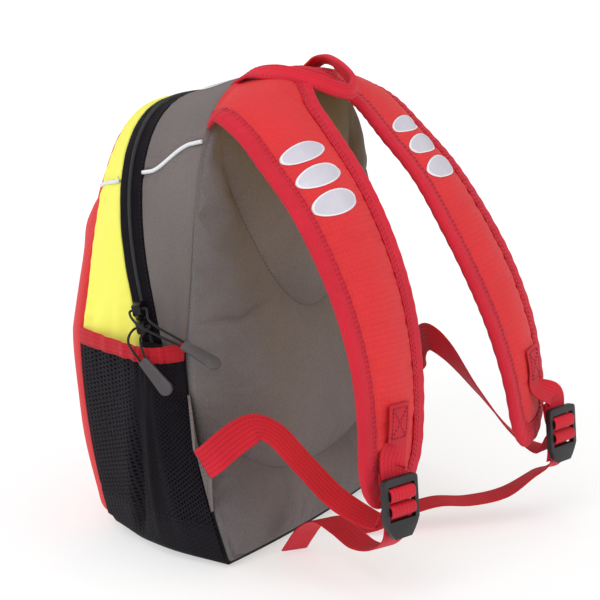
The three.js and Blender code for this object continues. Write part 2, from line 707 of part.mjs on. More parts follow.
// Webbing from the back seam to the buckle, and its free tail down to the floor.
const WEB_START = {
  right: [
    { at: [134, 67.3, 80.9], across: [-0.11, -0.67, 0.73] },
    { at: [131, 72, 85], across: [0, -0.66, 0.75] },
    { at: [121, 75.5, 92], across: [0.25, -0.62, 0.74] },
    { at: [109, 79.5, 99], across: [0.5, -0.55, 0.66] },
    { at: [100.5, 84, 103], across: [0.8, -0.42, 0.35] },
    { at: [96, 93, 99], across: [0.93, -0.25, 0] },
    { at: [92.5, 113, 78], across: [0.93, -0.16, -0.25] },
    { at: [90, 138, 57], across: [0.95, -0.2, -0.2] },
  ],
  left: [
    { at: [-134, 67.3, 80.9], across: [-0.11, 0.67, -0.73] },
    { at: [-131, 73, 87], across: [0, 0.66, -0.75] },
    { at: [-122, 79, 97], across: [0.25, 0.62, -0.74] },
    { at: [-112, 87, 106], across: [0.5, 0.55, -0.66] },
    { at: [-104, 97, 110], across: [0.8, 0.42, -0.35] },
    { at: [-99, 112, 104], across: [0.93, 0.25, 0] },
    { at: [-96, 138, 80], across: [0.95, 0.1, 0.2] },
    { at: [-93, 170, 53], across: [0.97, 0, 0.1] },
  ],
};
const WEB_TAIL = {
  right: [
    { at: [85, 163, 32], across: [0.9, -0.4, 0] },
    { at: [77, 146, 27], across: [0.88, -0.47, 0] },
    { at: [68, 127, 30], across: [0.88, -0.47, 0] },
    { at: [60.5, 110, 31], across: [0.88, -0.47, 0] },
    { at: [55.5, 95.5, 22], across: [0.88, -0.47, 0] },
    { at: [52.5, 85.5, 9], across: [0.88, -0.47, 0] },
    { at: [51, 80.5, 1.6], across: [0.88, -0.47, 0] },
  ],
  left: [
    { at: [-83, 188, 33], across: [0.9, 0.3, 0] },
    { at: [-68, 173, 21], across: [0.8, 0.6, 0] },
    { at: [-51, 155, 17], across: [0.74, 0.67, 0] },
    { at: [-35, 138, 18], across: [0.74, 0.67, 0] },
    { at: [-20, 121, 12], across: [0.74, 0.67, 0] },
    { at: [-8, 107, 4], across: [0.74, 0.67, 0] },
    { at: [0, 97, 1.8], across: [0.74, 0.67, 0] },
  ],
};

for (const side of ["right", "left"]) {
  const form = strapForm(SIDES[side]);
  const strap = bentBox(STRAP_STEPS, 6, (u, v, w) => {
    const length = rowLength(Math.round(u * STRAP_STEPS));
    const half = form.halfWidth(length);
    const column = Math.round(6 * v) - 3;
    const padded = STRAP_COLUMNS[Math.abs(column)] * (half - STRAP_FLANGE);
    const x = Math.sign(column) * (Math.abs(column) === 3 ? half : padded);
    return form.point(length, x, w > 0.5 ? form.top(length, x) : -form.edge(length));
  });
  add(`strap_${side}`, strap, RED);

  const lining = bentBox(STRAP_STEPS - 2, 4, (u, v, w) => {
    const length = rowLength(1 + Math.round(u * (STRAP_STEPS - 2)));
    const half = form.halfWidth(length + 6) - STRAP_FLANGE;
    const column = Math.round(4 * v) - 2;
    const x = Math.sign(column) * STRAP_COLUMNS[Math.abs(column)] * half;
    const slack = SEAM_SLACK * (1 - smoothstep(length, SEAM_BLEND / 2, 1.5 * SEAM_BLEND));
    return form.point(length, x, -STRAP_EDGE - LINING_GAP - slack - (1 - w));
  });
  add(`strap_lining_${side}`, lining, LINING_YELLOW);
  add(`strap_binding_${side}`, strapBinding(form), TAPE_RED);

  const { at, right, up, face } = buckleFrame(side);
  const buckle = add(`buckle_${side}`, buckleGeometry(), PLASTIC);
  buckle.position.copy(at);
  buckle.quaternion.setFromRotationMatrix(new THREE.Matrix4().makeBasis(right, up, face));

  const tab = [...rowsOnStrap(form, SIDES[side]), ...rowsInBuckle(side, TAB_LOOP)];
  add(`buckle_tab_${side}`, band(tab, 2, WEB_WIDTH, WEB_THICK), TAPE_RED);
  const web = [...WEB_START[side], ...rowsInBuckle(side, WEB_THREADING), ...WEB_TAIL[side]];
  add(`lower_web_${side}`, band(web, 2, WEB_WIDTH, WEB_THICK), TAPE_RED);
}

// Cloth tabs that hold the webbing in the back seam, standing out sideways to the edge it is sewn to.
const ANCHOR = { low: 46, high: 98, thick: 1.8, start: 1, out: [0.7, 0.71, 0], face: [0.58, -0.81, 0] };
const ANCHOR_EDGE = { low: [133.9, 73.1, 73.6], high: [131.6, 59.6, 88.2] };
for (const side of ["right", "left"]) {
  const anchor = bentBox(3, 3, (u, v, w) => {
    const seam = SEAMS[BACK];
    const station = (lerp(ANCHOR.low, ANCHOR.high, u) - seam.foot) / (seam.rim - seam.foot);
    const root = seamPoint(seam, station).addScaledVector(vec(...ANCHOR.out), ANCHOR.start);
    const edge = vec(...ANCHOR_EDGE.low).lerp(vec(...ANCHOR_EDGE.high), u);
    const point = root.lerp(edge, v).addScaledVector(vec(...ANCHOR.face), (w - 0.5) * ANCHOR.thick);
    return point.setX(SIDES[side].sign * point.x);
  });
  add(`web_anchor_${side}`, anchor, GREY);
}

// Grab handle: a flat band that twists on edge round its loop.
const HANDLE_WIDTH = 15;
const HANDLE_THICK = 3;
const HANDLE_ROWS = [
  { at: [40, 37, 308], across: [1, 0.1, -0.15] },
  { at: [38, 48, 309], across: [0.95, 0.1, -0.25] },
  { at: [27.6, 60, 310.6], across: [0.75, 0.15, -0.6] },
  { at: [17.5, 75, 302.4], across: [0.3, 0.1, -0.95] },
  { at: [9, 86, 294.5], across: [0.08, 0.1, -1] },
  { at: [-2, 90, 292], across: [0, 0.1, -1] },
  { at: [-12, 86, 296], across: [-0.08, 0.1, -1] },
  { at: [-18.5, 75, 303.6], across: [-0.3, 0.1, -0.95] },
  { at: [-27.6, 60, 311], across: [-0.75, 0.15, -0.6] },
  { at: [-38, 48, 309.2], across: [-0.95, 0.1, -0.25] },
  { at: [-40, 37, 308.2], across: [-1, 0.1, -0.15] },
];
add("handle", band(HANDLE_ROWS, 2, HANDLE_WIDTH, HANDLE_THICK, 2), TAPE_RED);

// Zip sliders, each with a cord loop and a moulded tab, parked together at the right end.
const SLIDER = { length: 10, width: 6.4, body: 3, bail: 3.4, eye: 1.5, eyeHeight: 4.4 };
const CORD_RADIUS = 0.8;
const TAB = { length: 27, width: 9, thick: 2.6 };
const SLIDERS = [
  {
    name: "lower",
    station: 1.05,
    tabFrom: [127, 19, 137],
    tabTo: [126, 38, 119],
    tabFace: [0.96, 0.1, 0.25],
  },
  {
    name: "upper",
    station: 1.1,
    tabFrom: [117, 42, 148],
    tabTo: [112, 66, 136],
    tabFace: [0.5, 0.35, 0.8],
  },
];

function sliderGeometry() {
  const { length, width, body, bail, eye, eyeHeight } = SLIDER;
  const half = length / 2;
  const side = new THREE.Shape();
  side.moveTo(-half, 0);
  side.lineTo(half, 0);
  side.lineTo(half, body);
  side.lineTo(half - 2, body + bail);
  side.lineTo(-half + 2, body + bail);
  side.lineTo(-half, body);
  const hole = new THREE.Path();
  hole.absarc(0, eyeHeight, eye, 0, 2 * Math.PI, true);
  side.holes.push(hole);
  const solid = new THREE.ExtrudeGeometry(side, { depth: width, bevelEnabled: false, curveSegments: 5 });
  solid.translate(0, 0, -width / 2);
  return reshape(solid, (p) => p.clone());
}

function tabGeometry() {
  const { length, width, thick } = TAB;
  const half = width / 2;
  const shape = new THREE.Shape();
  shape.moveTo(-half * 0.7, 0);
  shape.lineTo(half * 0.7, 0);
  shape.lineTo(half, length - half);
  shape.absarc(0, length - half, half, 0, Math.PI, false);
  const solid = new THREE.ExtrudeGeometry(shape, { depth: thick, bevelEnabled: false, curveSegments: 8 });
  solid.translate(0, 0, -thick / 2);
  return reshape(solid, (p) => p.clone());
}

for (const { name, station, tabFrom, tabTo, tabFace } of SLIDERS) {
  const out = shellNormal(station, 1.5);
  const along = shellPoint(station + 0.02, 1.5).sub(shellPoint(station - 0.02, 1.5)).normalize();
  const across = along.clone().cross(out).normalize();
  const seat = offShell(station, 1.5, 0.9 + SEAM_GAP);
  const slider = add(`zip_slider_${name}`, sliderGeometry(), METAL_BLACK);
  slider.position.copy(seat);
  slider.quaternion.setFromRotationMatrix(new THREE.Matrix4().makeBasis(along, out, across));

  const root = vec(...tabFrom);
  const down = vec(...tabTo).sub(root).normalize();
  const face = vec(...tabFace);
  face.addScaledVector(down, -face.dot(down)).normalize();
  const wide = down.clone().cross(face).normalize();
  const tab = add(`pull_tab_${name}`, tabGeometry(), TAB_GREY);
  tab.position.copy(root);
  tab.quaternion.setFromRotationMatrix(new THREE.Matrix4().makeBasis(wide, down, face));

  // The cord runs from the tab through the slider's eye and back.
  const eye = seat.clone().addScaledVector(out, SLIDER.eyeHeight);
  const reach = SLIDER.width / 2 + 3;
  const lift = out.clone().multiplyScalar(8.2);
  const nearEye = [1, -1].map((sign) => eye.clone().addScaledVector(across, sign * reach));
  const sign = wide.dot(across) > 0 ? 1 : -1;
  const tabEnds = [sign, -sign].map((s) => {
    return root.clone().addScaledVector(wide, s * 1.8).addScaledVector(down, -CORD_RADIUS);
  });
  const raised = nearEye.map((end, i) => end.clone().lerp(tabEnds[i], 0.3).add(lift));
  const loop = [tabEnds[0], raised[0], nearEye[0], eye, nearEye[1], raised[1], tabEnds[1]];
  const cordPath = new THREE.CatmullRomCurve3(loop);
  const section = new THREE.Shape();
  section.absarc(0, 0, CORD_RADIUS, 0, 2 * Math.PI, false);
  const cord = new THREE.ExtrudeGeometry(section, { steps: 12, extrudePath: cordPath, curveSegments: 3 });
  add(`pull_cord_${name}`, reshape(cord, (p) => p.clone()), BLACK);
}

export default bag;
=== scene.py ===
# %% [markdown]
# A child's backpack, standing on its base, seen from behind on its right-hand side.
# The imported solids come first: they fix every place and size, and the cloth pieces made here follow
# the same seam lines with many more points, so that folds, quilting and weave can show.

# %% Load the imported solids
import math

import bmesh
import bpy
import numpy as np
from mathutils import Matrix, Vector
from mathutils.bvhtree import BVHTree


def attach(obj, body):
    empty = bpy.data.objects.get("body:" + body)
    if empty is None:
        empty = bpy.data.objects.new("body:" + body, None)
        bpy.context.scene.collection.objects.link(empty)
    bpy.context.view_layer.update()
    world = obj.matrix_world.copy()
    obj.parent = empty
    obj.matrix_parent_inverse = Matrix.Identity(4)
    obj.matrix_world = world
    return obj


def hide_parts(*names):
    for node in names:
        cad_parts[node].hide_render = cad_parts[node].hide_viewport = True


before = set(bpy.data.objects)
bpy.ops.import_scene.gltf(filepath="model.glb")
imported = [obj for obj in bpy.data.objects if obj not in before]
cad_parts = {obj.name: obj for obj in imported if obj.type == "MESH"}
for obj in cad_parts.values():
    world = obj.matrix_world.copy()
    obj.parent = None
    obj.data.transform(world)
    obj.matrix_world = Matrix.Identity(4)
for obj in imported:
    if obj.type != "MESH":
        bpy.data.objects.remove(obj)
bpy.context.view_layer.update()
MM = 0.001

# %% [markdown]
# The photograph was taken from about a metre away, a little above the bag, from behind its right side.
# A long lens keeps the same perspective while the bag fills the picture. The camera looks straight at
# the middle of the bag, so no shift is needed.

# %% Camera
AZIMUTH = math.radians(123.4)
ELEVATION = math.radians(12.5)
DISTANCE = 1.136
PHOTO_AIM = Vector((0.0, 0.010, 0.170))
PICTURE_AIM = Vector((0.004, 0.056, 0.154))
LENS = 102.0

from_bag = Vector((
    math.sin(AZIMUTH) * math.cos(ELEVATION),
    -math.cos(AZIMUTH) * math.cos(ELEVATION),
    math.sin(ELEVATION),
))
camera_data = bpy.data.cameras.new("camera")
camera_data.lens = LENS
camera_data.sensor_width = 36.0
camera_data.clip_start = 0.01
camera = bpy.data.objects.new("camera", camera_data)
camera.location = PHOTO_AIM + DISTANCE * from_bag
camera.rotation_euler = (camera.location - PICTURE_AIM).to_track_quat("Z", "Y").to_euler()
bpy.context.collection.objects.link(camera)
bpy.context.scene.camera = camera
print("camera at", [round(c, 3) for c in camera.location])

# %% [markdown]
# The floor is one wide pale sheet. Four large area lights give soft shadows: a key from the camera's
# left, a fill from its right, one overhead and one for the front of the bag. The world adds an even glow,
# as in a white studio, and shows plain white to the camera.

# %% Floor and light
bm = bmesh.new()
bmesh.ops.create_grid(bm, x_segments=2, y_segments=2, size=6.0)
floor_mesh = bpy.data.meshes.new("floor")
bm.to_mesh(floor_mesh)
bm.free()
floor = bpy.data.objects.new("floor", floor_mesh)
bpy.context.collection.objects.link(floor)

LIGHTS = {
    "key": {"at": (1.5, 0.1, 1.5), "size": 1.3, "power": 13.0},
    "fill": {"at": (-0.2, 1.9, 0.9), "size": 1.6, "power": 8.0},
    "top": {"at": (0.1, 0.1, 2.0), "size": 1.6, "power": 9.0},
    "front": {"at": (0.2, -1.8, 1.0), "size": 1.6, "power": 7.0},
}
LIGHT_AIM = Vector((0.0, 0.05, 0.15))
WORLD_STRENGTH = {"To Min": 0.55, "To Max": 1.0}
for name, light in LIGHTS.items():
    lamp = bpy.data.lights.new(name, "AREA")
    lamp.energy = light["power"]
    lamp.size = light["size"]
    holder = bpy.data.objects.new(name, lamp)
    holder.location = light["at"]
    holder.rotation_euler = (holder.location - LIGHT_AIM).to_track_quat("Z", "Y").to_euler()
    bpy.context.collection.objects.link(holder)
world = bpy.data.worlds.new("studio")
world.use_nodes = True
glow = world.node_tree.nodes["Background"]
glow.inputs["Color"].default_value = (1.0, 1.0, 1.0, 1.0)
seen = world.node_tree.nodes.new("ShaderNodeLightPath")
strength = world.node_tree.nodes.new("ShaderNodeMapRange")
for socket, amount in WORLD_STRENGTH.items():
    strength.inputs[socket].default_value = amount
world.node_tree.links.new(seen.outputs["Is Camera Ray"], strength.inputs["Value"])
world.node_tree.links.new(strength.outputs["Result"], glow.inputs["Strength"])
bpy.context.scene.world = world
bpy.context.scene.view_settings.view_transform = "Standard"
print("lights:", ", ".join(LIGHTS))

# %% [markdown]
# Every finish is made of nodes. A small class wraps a socket so that shader maths reads like ordinary
# sums, and one method adds any other node. The rest of the file then describes cloth, not wiring.

# %% Shader maths
class Value:
    """A socket of a finish. A sum with it adds a Math node."""

    def __init__(self, finish, socket):
        self.finish = finish
        self.socket = socket

    def maths(self, operation, *others):
        return self.finish.maths(operation, self, *others)

    def __add__(self, other):
        return self.finish.maths("ADD", self, other)

    def __radd__(self, other):
        return self.finish.maths("ADD", other, self)

    def __sub__(self, other):
        return self.finish.maths("SUBTRACT", self, other)

    def __rsub__(self, other):
        return self.finish.maths("SUBTRACT", other, self)

    def __mul__(self, other):
        return self.finish.maths("MULTIPLY", self, other)

    def __rmul__(self, other):
        return self.finish.maths("MULTIPLY", other, self)

    def __truediv__(self, other):
        return self.finish.maths("DIVIDE", self, other)

    def __rtruediv__(self, other):
        return self.finish.maths("DIVIDE", other, self)

    def wave(self, pitch, kind="SINE"):
        return (self * (2 * math.pi / pitch)).maths(kind)

    def step(self, low, high):
        settings = {"interpolation_type": "SMOOTHSTEP"}
        span = {"From Min": low, "From Max": high}
        return self.finish.node("ShaderNodeMapRange", settings, Value=self, **span)


class Finish:
    def __init__(self, name):
        self.material = bpy.data.materials.new(name)
        self.material.use_nodes = True
        self.tree = self.material.node_tree
        self.shader = self.tree.nodes["Principled BSDF"]

    def feed(self, slot, item):
        if isinstance(item, Value):
            self.tree.links.new(item.socket, slot)
        else:
            slot.default_value = item

    def maths(self, operation, *items):
        node = self.tree.nodes.new("ShaderNodeMath")
        node.operation = operation
        for slot, item in zip(node.inputs, items):
            self.feed(slot, item)
        return Value(self, node.outputs[0])

    def node(self, kind, settings=None, output=0, **inputs):
        node = self.tree.nodes.new(kind)
        for key, setting in (settings or {}).items():
            setattr(node, key, setting)
        for key, item in inputs.items():
            slots = [slot for slot in node.inputs if slot.name == key and slot.enabled]
            self.feed(slots[0], item)
        return Value(self, node.outputs[output])

    def mix(self, factor, first, second):
        node = self.tree.nodes.new("ShaderNodeMix")
        node.data_type = "RGBA"
        self.feed(node.inputs[0], factor)
        self.feed(node.inputs[6], first)
        self.feed(node.inputs[7], second)
        return Value(self, node.outputs[2])

    def coordinates(self, source):
        place = self.node("ShaderNodeTexCoord", output={"uv": 2, "object": 3}[source])
        split = self.tree.nodes.new("ShaderNodeSeparateXYZ")
        self.feed(split.inputs[0], place)
        return place, [Value(self, split.outputs[axis]) for axis in range(3)]

    def noise(self, place, scale, detail=2.0):
        return self.node("ShaderNodeTexNoise", Vector=place, Scale=scale, Detail=detail)

    def bump(self, height, distance, strength=1.0):
        relief = self.node("ShaderNodeBump", Height=height, Distance=distance, Strength=strength)
        self.set("Normal", relief)

    def set(self, name, item):
        self.feed(self.shader.inputs[name], item)


def colour(red, green, blue):
    """A picture colour, 0 to 255, as the linear colour that a shader takes."""
    shares = [channel / 255 for channel in (red, green, blue)]
    linear = [((s + 0.055) / 1.055) ** 2.4 if s > 0.04045 else s / 12.92 for s in shares]
    return (*linear, 1.0)


floor_finish = Finish("pale_floor")
_, (floor_x, floor_y, _) = floor_finish.coordinates("object")
far = (floor_x * floor_x + floor_y * floor_y).maths("SQRT").step(0.25, 1.5)
FLOOR_NEAR = (0.52, 0.52, 0.52, 1.0)
FLOOR_FAR = {"Base Color": (0.2, 0.2, 0.2, 1.0), "Emission Color": (0.97, 0.97, 0.97, 1.0)}
for socket, tone in FLOOR_FAR.items():
    floor_finish.set(socket, floor_finish.mix(far, FLOOR_NEAR, tone))
floor_finish.set("Roughness", 0.7)
floor_finish.set("Emission Strength", 1.0)
floor_finish.set("Specular IOR Level", 0.1)
floor_mesh.materials.append(floor_finish.material)
print("shader helpers ready")

# %% [markdown]
# Most of the bag is plain-woven polyester. Two sets of threads cross about every half millimetre, one
# over and one under. A product of two sine waves gives that height; slow noise varies the dye and the
# sheen. Pieces with their own flat map use it, and the two domed panels use object coordinates. The
# yellow is a fluorescent dye; a faint glow, painted light, makes it brighter than the lamps light it.

# %% Plain cloth
def plain_cloth(name, dye, shade, source="uv", axes=(0, 1), pitch=0.0011, relief=0.00035, glow=0.0):
    finish = Finish(name)
    place, parts = finish.coordinates(source)
    across, along = parts[axes[0]], parts[axes[1]]
    weave = across.wave(pitch) * along.wave(pitch)
    slub = finish.noise(place, 900.0, 1.0)
    cloud = finish.noise(place, 16.0, 3.0)
    grain = 0.5 + 0.28 * weave + 0.5 * (slub - 0.5)
    tone = (0.65 * grain + 0.35 * cloud).step(0.2, 0.8)
    finish.set("Base Color", finish.mix(tone, shade, dye))
    finish.set("Roughness", 0.78 + 0.12 * (cloud - 0.5))
    finish.set("Sheen Weight", 0.04)
    finish.set("Specular IOR Level", 0.25)
    # Emission in the dye's colour is a painted glow: the cloth gives off light of its own, beyond what
    # the lamps give it.
    finish.set("Emission Color", dye)
    finish.set("Emission Strength", glow)
    finish.bump(weave + 0.8 * slub, relief, 0.7)
    return finish.material


GREY_DYE = colour(138, 128, 126)
GREY_SHADE = colour(98, 90, 89)
BLACK_DYE = colour(20, 17, 23)
BLACK_SHADE = colour(8, 7, 9)
grey_cloth = plain_cloth("grey_cloth", GREY_DYE, GREY_SHADE)
grey_padding = plain_cloth("grey_padding", colour(135, 128, 129), colour(96, 90, 92), "object", (0, 2))
# The yellow's glow of 0.12 is painted light that brightens it beyond the lamps.
yellow_cloth = plain_cloth("yellow_cloth", colour(255, 254, 126), colour(254, 248, 84), glow=0.12)
black_cloth = plain_cloth("black_cloth", BLACK_DYE, BLACK_SHADE)
print("plain cloths made")

# %% [markdown]
# The red cloth is ripstop: a fine weave with a thicker thread every few millimetres each way. The
# thick threads stand up as a grid of small squares, which the photograph shows as faint lines.

# %% Ripstop
def ripstop(name, dye, shade, source, axes, pitch=0.0029):
    finish = Finish(name)
    place, parts = finish.coordinates(source)
    across, along = parts[axes[0]], parts[axes[1]]
    weave = across.wave(0.0008) * along.wave(0.0008)
    ribs_across = across.wave(pitch).step(0.72, 0.98)
    ribs_along = along.wave(pitch).step(0.72, 0.98)
    ribs = ribs_across.maths("MAXIMUM", ribs_along)
    cloud = finish.noise(place, 14.0, 3.0)
    slub = finish.noise(place, 700.0, 1.0)
    tone = (0.6 + 0.14 * weave + 0.3 * (slub - 0.5) + 0.5 * (cloud - 0.5) - 0.2 * ribs).step(0.0, 1.0)
    finish.set("Base Color", finish.mix(tone, shade, dye))
    finish.set("Roughness", 0.68 - 0.08 * ribs)
    finish.set("Sheen Weight", 0.04)
    finish.bump(0.4 * weave + 0.7 * ribs + 0.3 * slub, 0.00025, 0.7)
    return finish.material


RED_DYE = colour(234, 38, 42)
RED_SHADE = colour(196, 18, 28)
red_front = ripstop("red_ripstop_front", RED_DYE, RED_SHADE, "object", (0, 2))
red_strap = ripstop("red_ripstop_strap", RED_DYE, RED_SHADE, "uv", (0, 1))
print("ripstop made")

# %% [markdown]
# Binding tape and webbing are woven narrow. Cords of warp thread run along the length side by side,
# with a thin dark line between two of them, and the weft crosses them in fine steps. The map of such a
# piece runs along its length first, in metres, so every width of tape keeps its scale.

# %% Tape and webbing
def woven_tape(name, dye, shade, column=0.0029, rib=0.0012, lines=0.17, gloss=0.3):
    finish = Finish(name)
    place, (along, across, _) = finish.coordinates("uv")
    columns = across.wave(column, "COSINE")
    gaps = (-1.0 * columns).step(0.45, 1.0)
    ribs = (along + 0.4 * rib * columns).wave(rib)
    cloud = finish.noise(place, 25.0, 3.0)
    fibre = finish.noise(place, 1500.0, 1.0)
    dark_lines = gaps * (lines - 0.6 * lines * ribs)
    tone = 0.62 + 0.12 * ribs + 0.4 * (cloud - 0.5) + 0.3 * (fibre - 0.5) - dark_lines
    finish.set("Base Color", finish.mix(tone.step(0.05, 0.95), shade, dye))
    finish.set("Roughness", 0.66 + 0.1 * gaps)
    finish.set("Sheen Weight", 0.13 * gloss)
    finish.set("Specular IOR Level", gloss)
    finish.bump(0.5 * ribs - 4.0 * lines * gaps + 0.4 * fibre, 0.0002, 0.7)
    return finish.material


FINE_TAPE = (0.0021, 0.0011, 0.06)
tape_red = woven_tape("red_tape", colour(222, 30, 54), colour(164, 8, 32), *FINE_TAPE)
rim_red = woven_tape("rim_tape", colour(206, 22, 40), colour(150, 6, 24), *FINE_TAPE)
web_red = woven_tape("red_webbing", colour(224, 28, 50), colour(146, 4, 26))
HANDLE_WEAVE = (0.0018, 0.0009, 0.05)
handle_red = woven_tape("handle_webbing", colour(226, 32, 54), colour(176, 10, 36), *HANDLE_WEAVE)
ZIP_WEAVE = (0.0019, 0.0011, 0.3, 0.1)
zip_black = woven_tape("zip_tape", colour(22, 16, 25), colour(6, 4, 8), *ZIP_WEAVE)
print("tapes made")

# %% [markdown]
# The pocket is a knitted net. Its holes stand in staggered rows; each is cut out with the alpha socket,
# so that the dark wall behind shows through. The lower strip of the pocket is closed cloth, and a soft
# step along the map's first axis turns the holes off there.

# %% Pocket net
NET_PITCH = 0.0027
CLOSED_STRIP = 0.023


def staggered(along, across, pitch):
    """Three crossing waves: 1 at the middle of each hole in staggered rows, less between them."""
    lines = (across, 0.5 * across + 0.866 * along, 0.5 * across - 0.866 * along)
    first, second, third = (line.wave(pitch, "COSINE") for line in lines)
    return (first + second + third) / 3.0


def pocket_net(name):
    finish = Finish(name)
    place, (along, across, _) = finish.coordinates("uv")
    net = staggered(along, across, NET_PITCH)
    hole = net.step(0.34, 0.56)
    opened = along.step(CLOSED_STRIP, CLOSED_STRIP + 0.003)
    fibre = finish.noise(place, 900.0, 1.0)
    cloud = finish.noise(place, 20.0, 2.0)
    tone = (0.45 - 0.6 * net + 0.5 * (fibre - 0.5) + 0.5 * (cloud - 0.5)).step(0.0, 1.0)
    finish.set("Base Color", finish.mix(tone, colour(4, 2, 6), colour(25, 19, 30)))
    finish.set("Roughness", 0.75 + 0.2 * (fibre - 0.5))
    finish.set("Alpha", 1.0 - 0.96 * hole * opened)
    finish.set("Specular IOR Level", 0.2)
    finish.bump(0.3 * fibre - net, 0.0006, 0.8)
    return finish.material


net_black = pocket_net("pocket_net")
print("net made")

# %% [markdown]
# The inside of each strap is faced with thick yellow spacer mesh: round dimples in staggered rows, but
# not open right through. The same three waves give the dimples, as colour and bump alone. A faint glow
# keeps the shaded inside as bright as the photograph shows it.

# %% Spacer mesh
def spacer_mesh(name, dye, shade, pitch=0.0034):
    finish = Finish(name)
    place, (along, across, _) = finish.coordinates("uv")
    dimple = staggered(along, across, pitch).step(0.15, 0.7)
    fibre = finish.noise(place, 1200.0, 1.0)
    tone = (0.8 - 0.7 * dimple + 0.4 * (fibre - 0.5)).step(0.0, 1.0)
    for socket in ("Base Color", "Emission Color"):
        finish.set(socket, finish.mix(tone, shade, dye))
    finish.set("Emission Strength", 0.28)
    finish.set("Roughness", 0.85)
    finish.bump(0.2 * fibre - dimple, 0.0007, 0.9)
    return finish.material


lining_mesh = spacer_mesh("lining_mesh", colour(255, 212, 10), colour(232, 168, 0))
print("spacer mesh made")

# %% [markdown]
# Smaller finishes: moulded black plastic for the buckles, softer grey plastic for the pull tabs, black
# lacquered metal for the sliders, braided cord, sewing thread, and silver reflective film for the
# piping and the ornament ovals. The film is a fine bead coat: silver grey, with a sparkle of noise.

# %% Small finishes
def moulded(name, dye, rough, grain=0.00012, metal=0.0):
    finish = Finish(name)
    place, _ = finish.coordinates("object")
    grit = finish.noise(place, 2200.0, 2.0)
    wear = finish.noise(place, 60.0, 3.0)
    lighter = tuple(min(1.0, 1.5 * channel + 0.008) for channel in dye[:3]) + (1.0,)
    finish.set("Base Color", finish.mix(wear.step(0.45, 0.8), dye, lighter))
    finish.set("Roughness", rough + 0.18 * (grit - 0.5) + 0.1 * (wear - 0.5))
    finish.set("Metallic", metal)
    finish.bump(grit, grain, 0.6)
    return finish.material


def reflective_film(name, dye, shade):
    finish = Finish(name)
    place, _ = finish.coordinates("object")
    beads = finish.noise(place, 2600.0, 1.0)
    cloud = finish.noise(place, 40.0, 2.0)
    tone = (0.5 + 0.8 * (beads - 0.5) + 0.7 * (cloud - 0.5)).step(0.1, 0.9)
    finish.set("Base Color", finish.mix(tone, shade, dye))
    finish.set("Roughness", 0.42 + 0.2 * (beads - 0.5))
    finish.set("Metallic", 0.12 + 0.2 * (beads - 0.5))
    finish.set("Coat Weight", 0.15)
    finish.bump(beads, 0.0001, 0.5)
    return finish.material


def braided(name, dye, shade, pitch=0.0009):
    finish = Finish(name)
    place, (along, across, _) = finish.coordinates("uv")
    twist = (along + 0.7 * across).wave(pitch) * (along - 0.7 * across).wave(pitch)
    finish.set("Base Color", finish.mix((0.5 + 0.5 * twist).step(0.1, 0.9), shade, dye))
    finish.set("Roughness", 0.6 + 0.1 * twist)
    finish.bump(twist, 0.0003, 0.8)
    return finish.material


buckle_plastic = moulded("buckle_plastic", colour(17, 14, 18), 0.46)
tab_plastic = moulded("tab_plastic", colour(68, 62, 65), 0.5)
slider_metal = moulded("slider_metal", colour(26, 25, 28), 0.34, metal=0.6)
film_white = reflective_film("piping_film", colour(240, 242, 244), colour(206, 208, 214))
film_silver = reflective_film("oval_film", colour(212, 209, 219), colour(190, 186, 198))
film_rim = reflective_film("oval_rim", colour(244, 243, 246), colour(228, 226, 232))
cord_black = braided("pull_cord", colour(34, 32, 36), colour(12, 12, 14))
thread_red = braided("thread_red", colour(150, 14, 36), colour(116, 6, 26))
thread_grey = braided("thread_grey", colour(84, 78, 75), colour(60, 55, 53))
thread_black = braided("thread_black", colour(30, 27, 32), colour(14, 13, 16))
print(len(bpy.data.materials), "materials so far")

# %% [markdown]
# The bag's outline is four seam lines, each running from the right foot over the top to the left foot:
# the back seam, the two edges of the zip and the front seam. A station says how far along a seam line a
# point is (0 foot, 1 pocket rim, 2 top), and a number from 0 to 3 how far across from the back to the
# front. The solids use the same lines, so cloth made from them lies where the solids lie; only the
# front seam is a little squarer here. Sizes are in millimetres up to the moment a point is placed.

# %% Seam lines
SEAM_FACTS = ("wide", "foot_wide", "foot", "rim", "top", "square", "y")
SEAMS = [dict(zip(SEAM_FACTS, row)) for row in (
    (109, 97, 4, 142, 301, 3.4, (60, 38, 42, 31)),
    (112, 97, 7, 144, 285.5, 2.7, (24, 23, -5, -23)),
    (112, 95, 8, 144, 282.5, 2.6, (7, 7, -23, -41)),
    (101, 82, 12, 139, 274, 2.4, (-45, -49, -45, -60)),
)]
MID_SHARE = 0.52
TOP_ROUND = 0.16
ARCH_LENGTH = 215.0


def smooth(x, low, high):
    t = np.clip((np.asarray(x, float) - low) / (high - low), 0, 1)
    return t * t * (3 - 2 * t)


def hump(x, middle, wide):
    """A rounded bump, 1 at its middle and fading over its width."""
    return np.exp(-(((x - middle) / wide) ** 2))


def mix(first, second, share):
    return first + (second - first) * share


def unit(rows):
    return rows / np.maximum(np.linalg.norm(rows, axis=-1, keepdims=True), 1e-9)


def rounded(share):
    bend = np.hypot(1 - share, TOP_ROUND) - TOP_ROUND
    return 1 - bend / (math.hypot(1, TOP_ROUND) - TOP_ROUND)


def arch(seam, share):
    """Half width and height along the upper part of a seam line, by length."""
    angle = np.linspace(0, math.pi / 2, 241)
    wide = seam["wide"] * np.maximum(np.cos(angle), 0) ** (2 / seam["square"])
    high = mix(seam["rim"], seam["top"], np.sin(angle) ** (2 / seam["square"]))
    length = np.concatenate([[0], np.cumsum(np.hypot(np.diff(wide), np.diff(high)))])
    return np.interp(share * length[-1], length, wide), np.interp(share * length[-1], length, high)


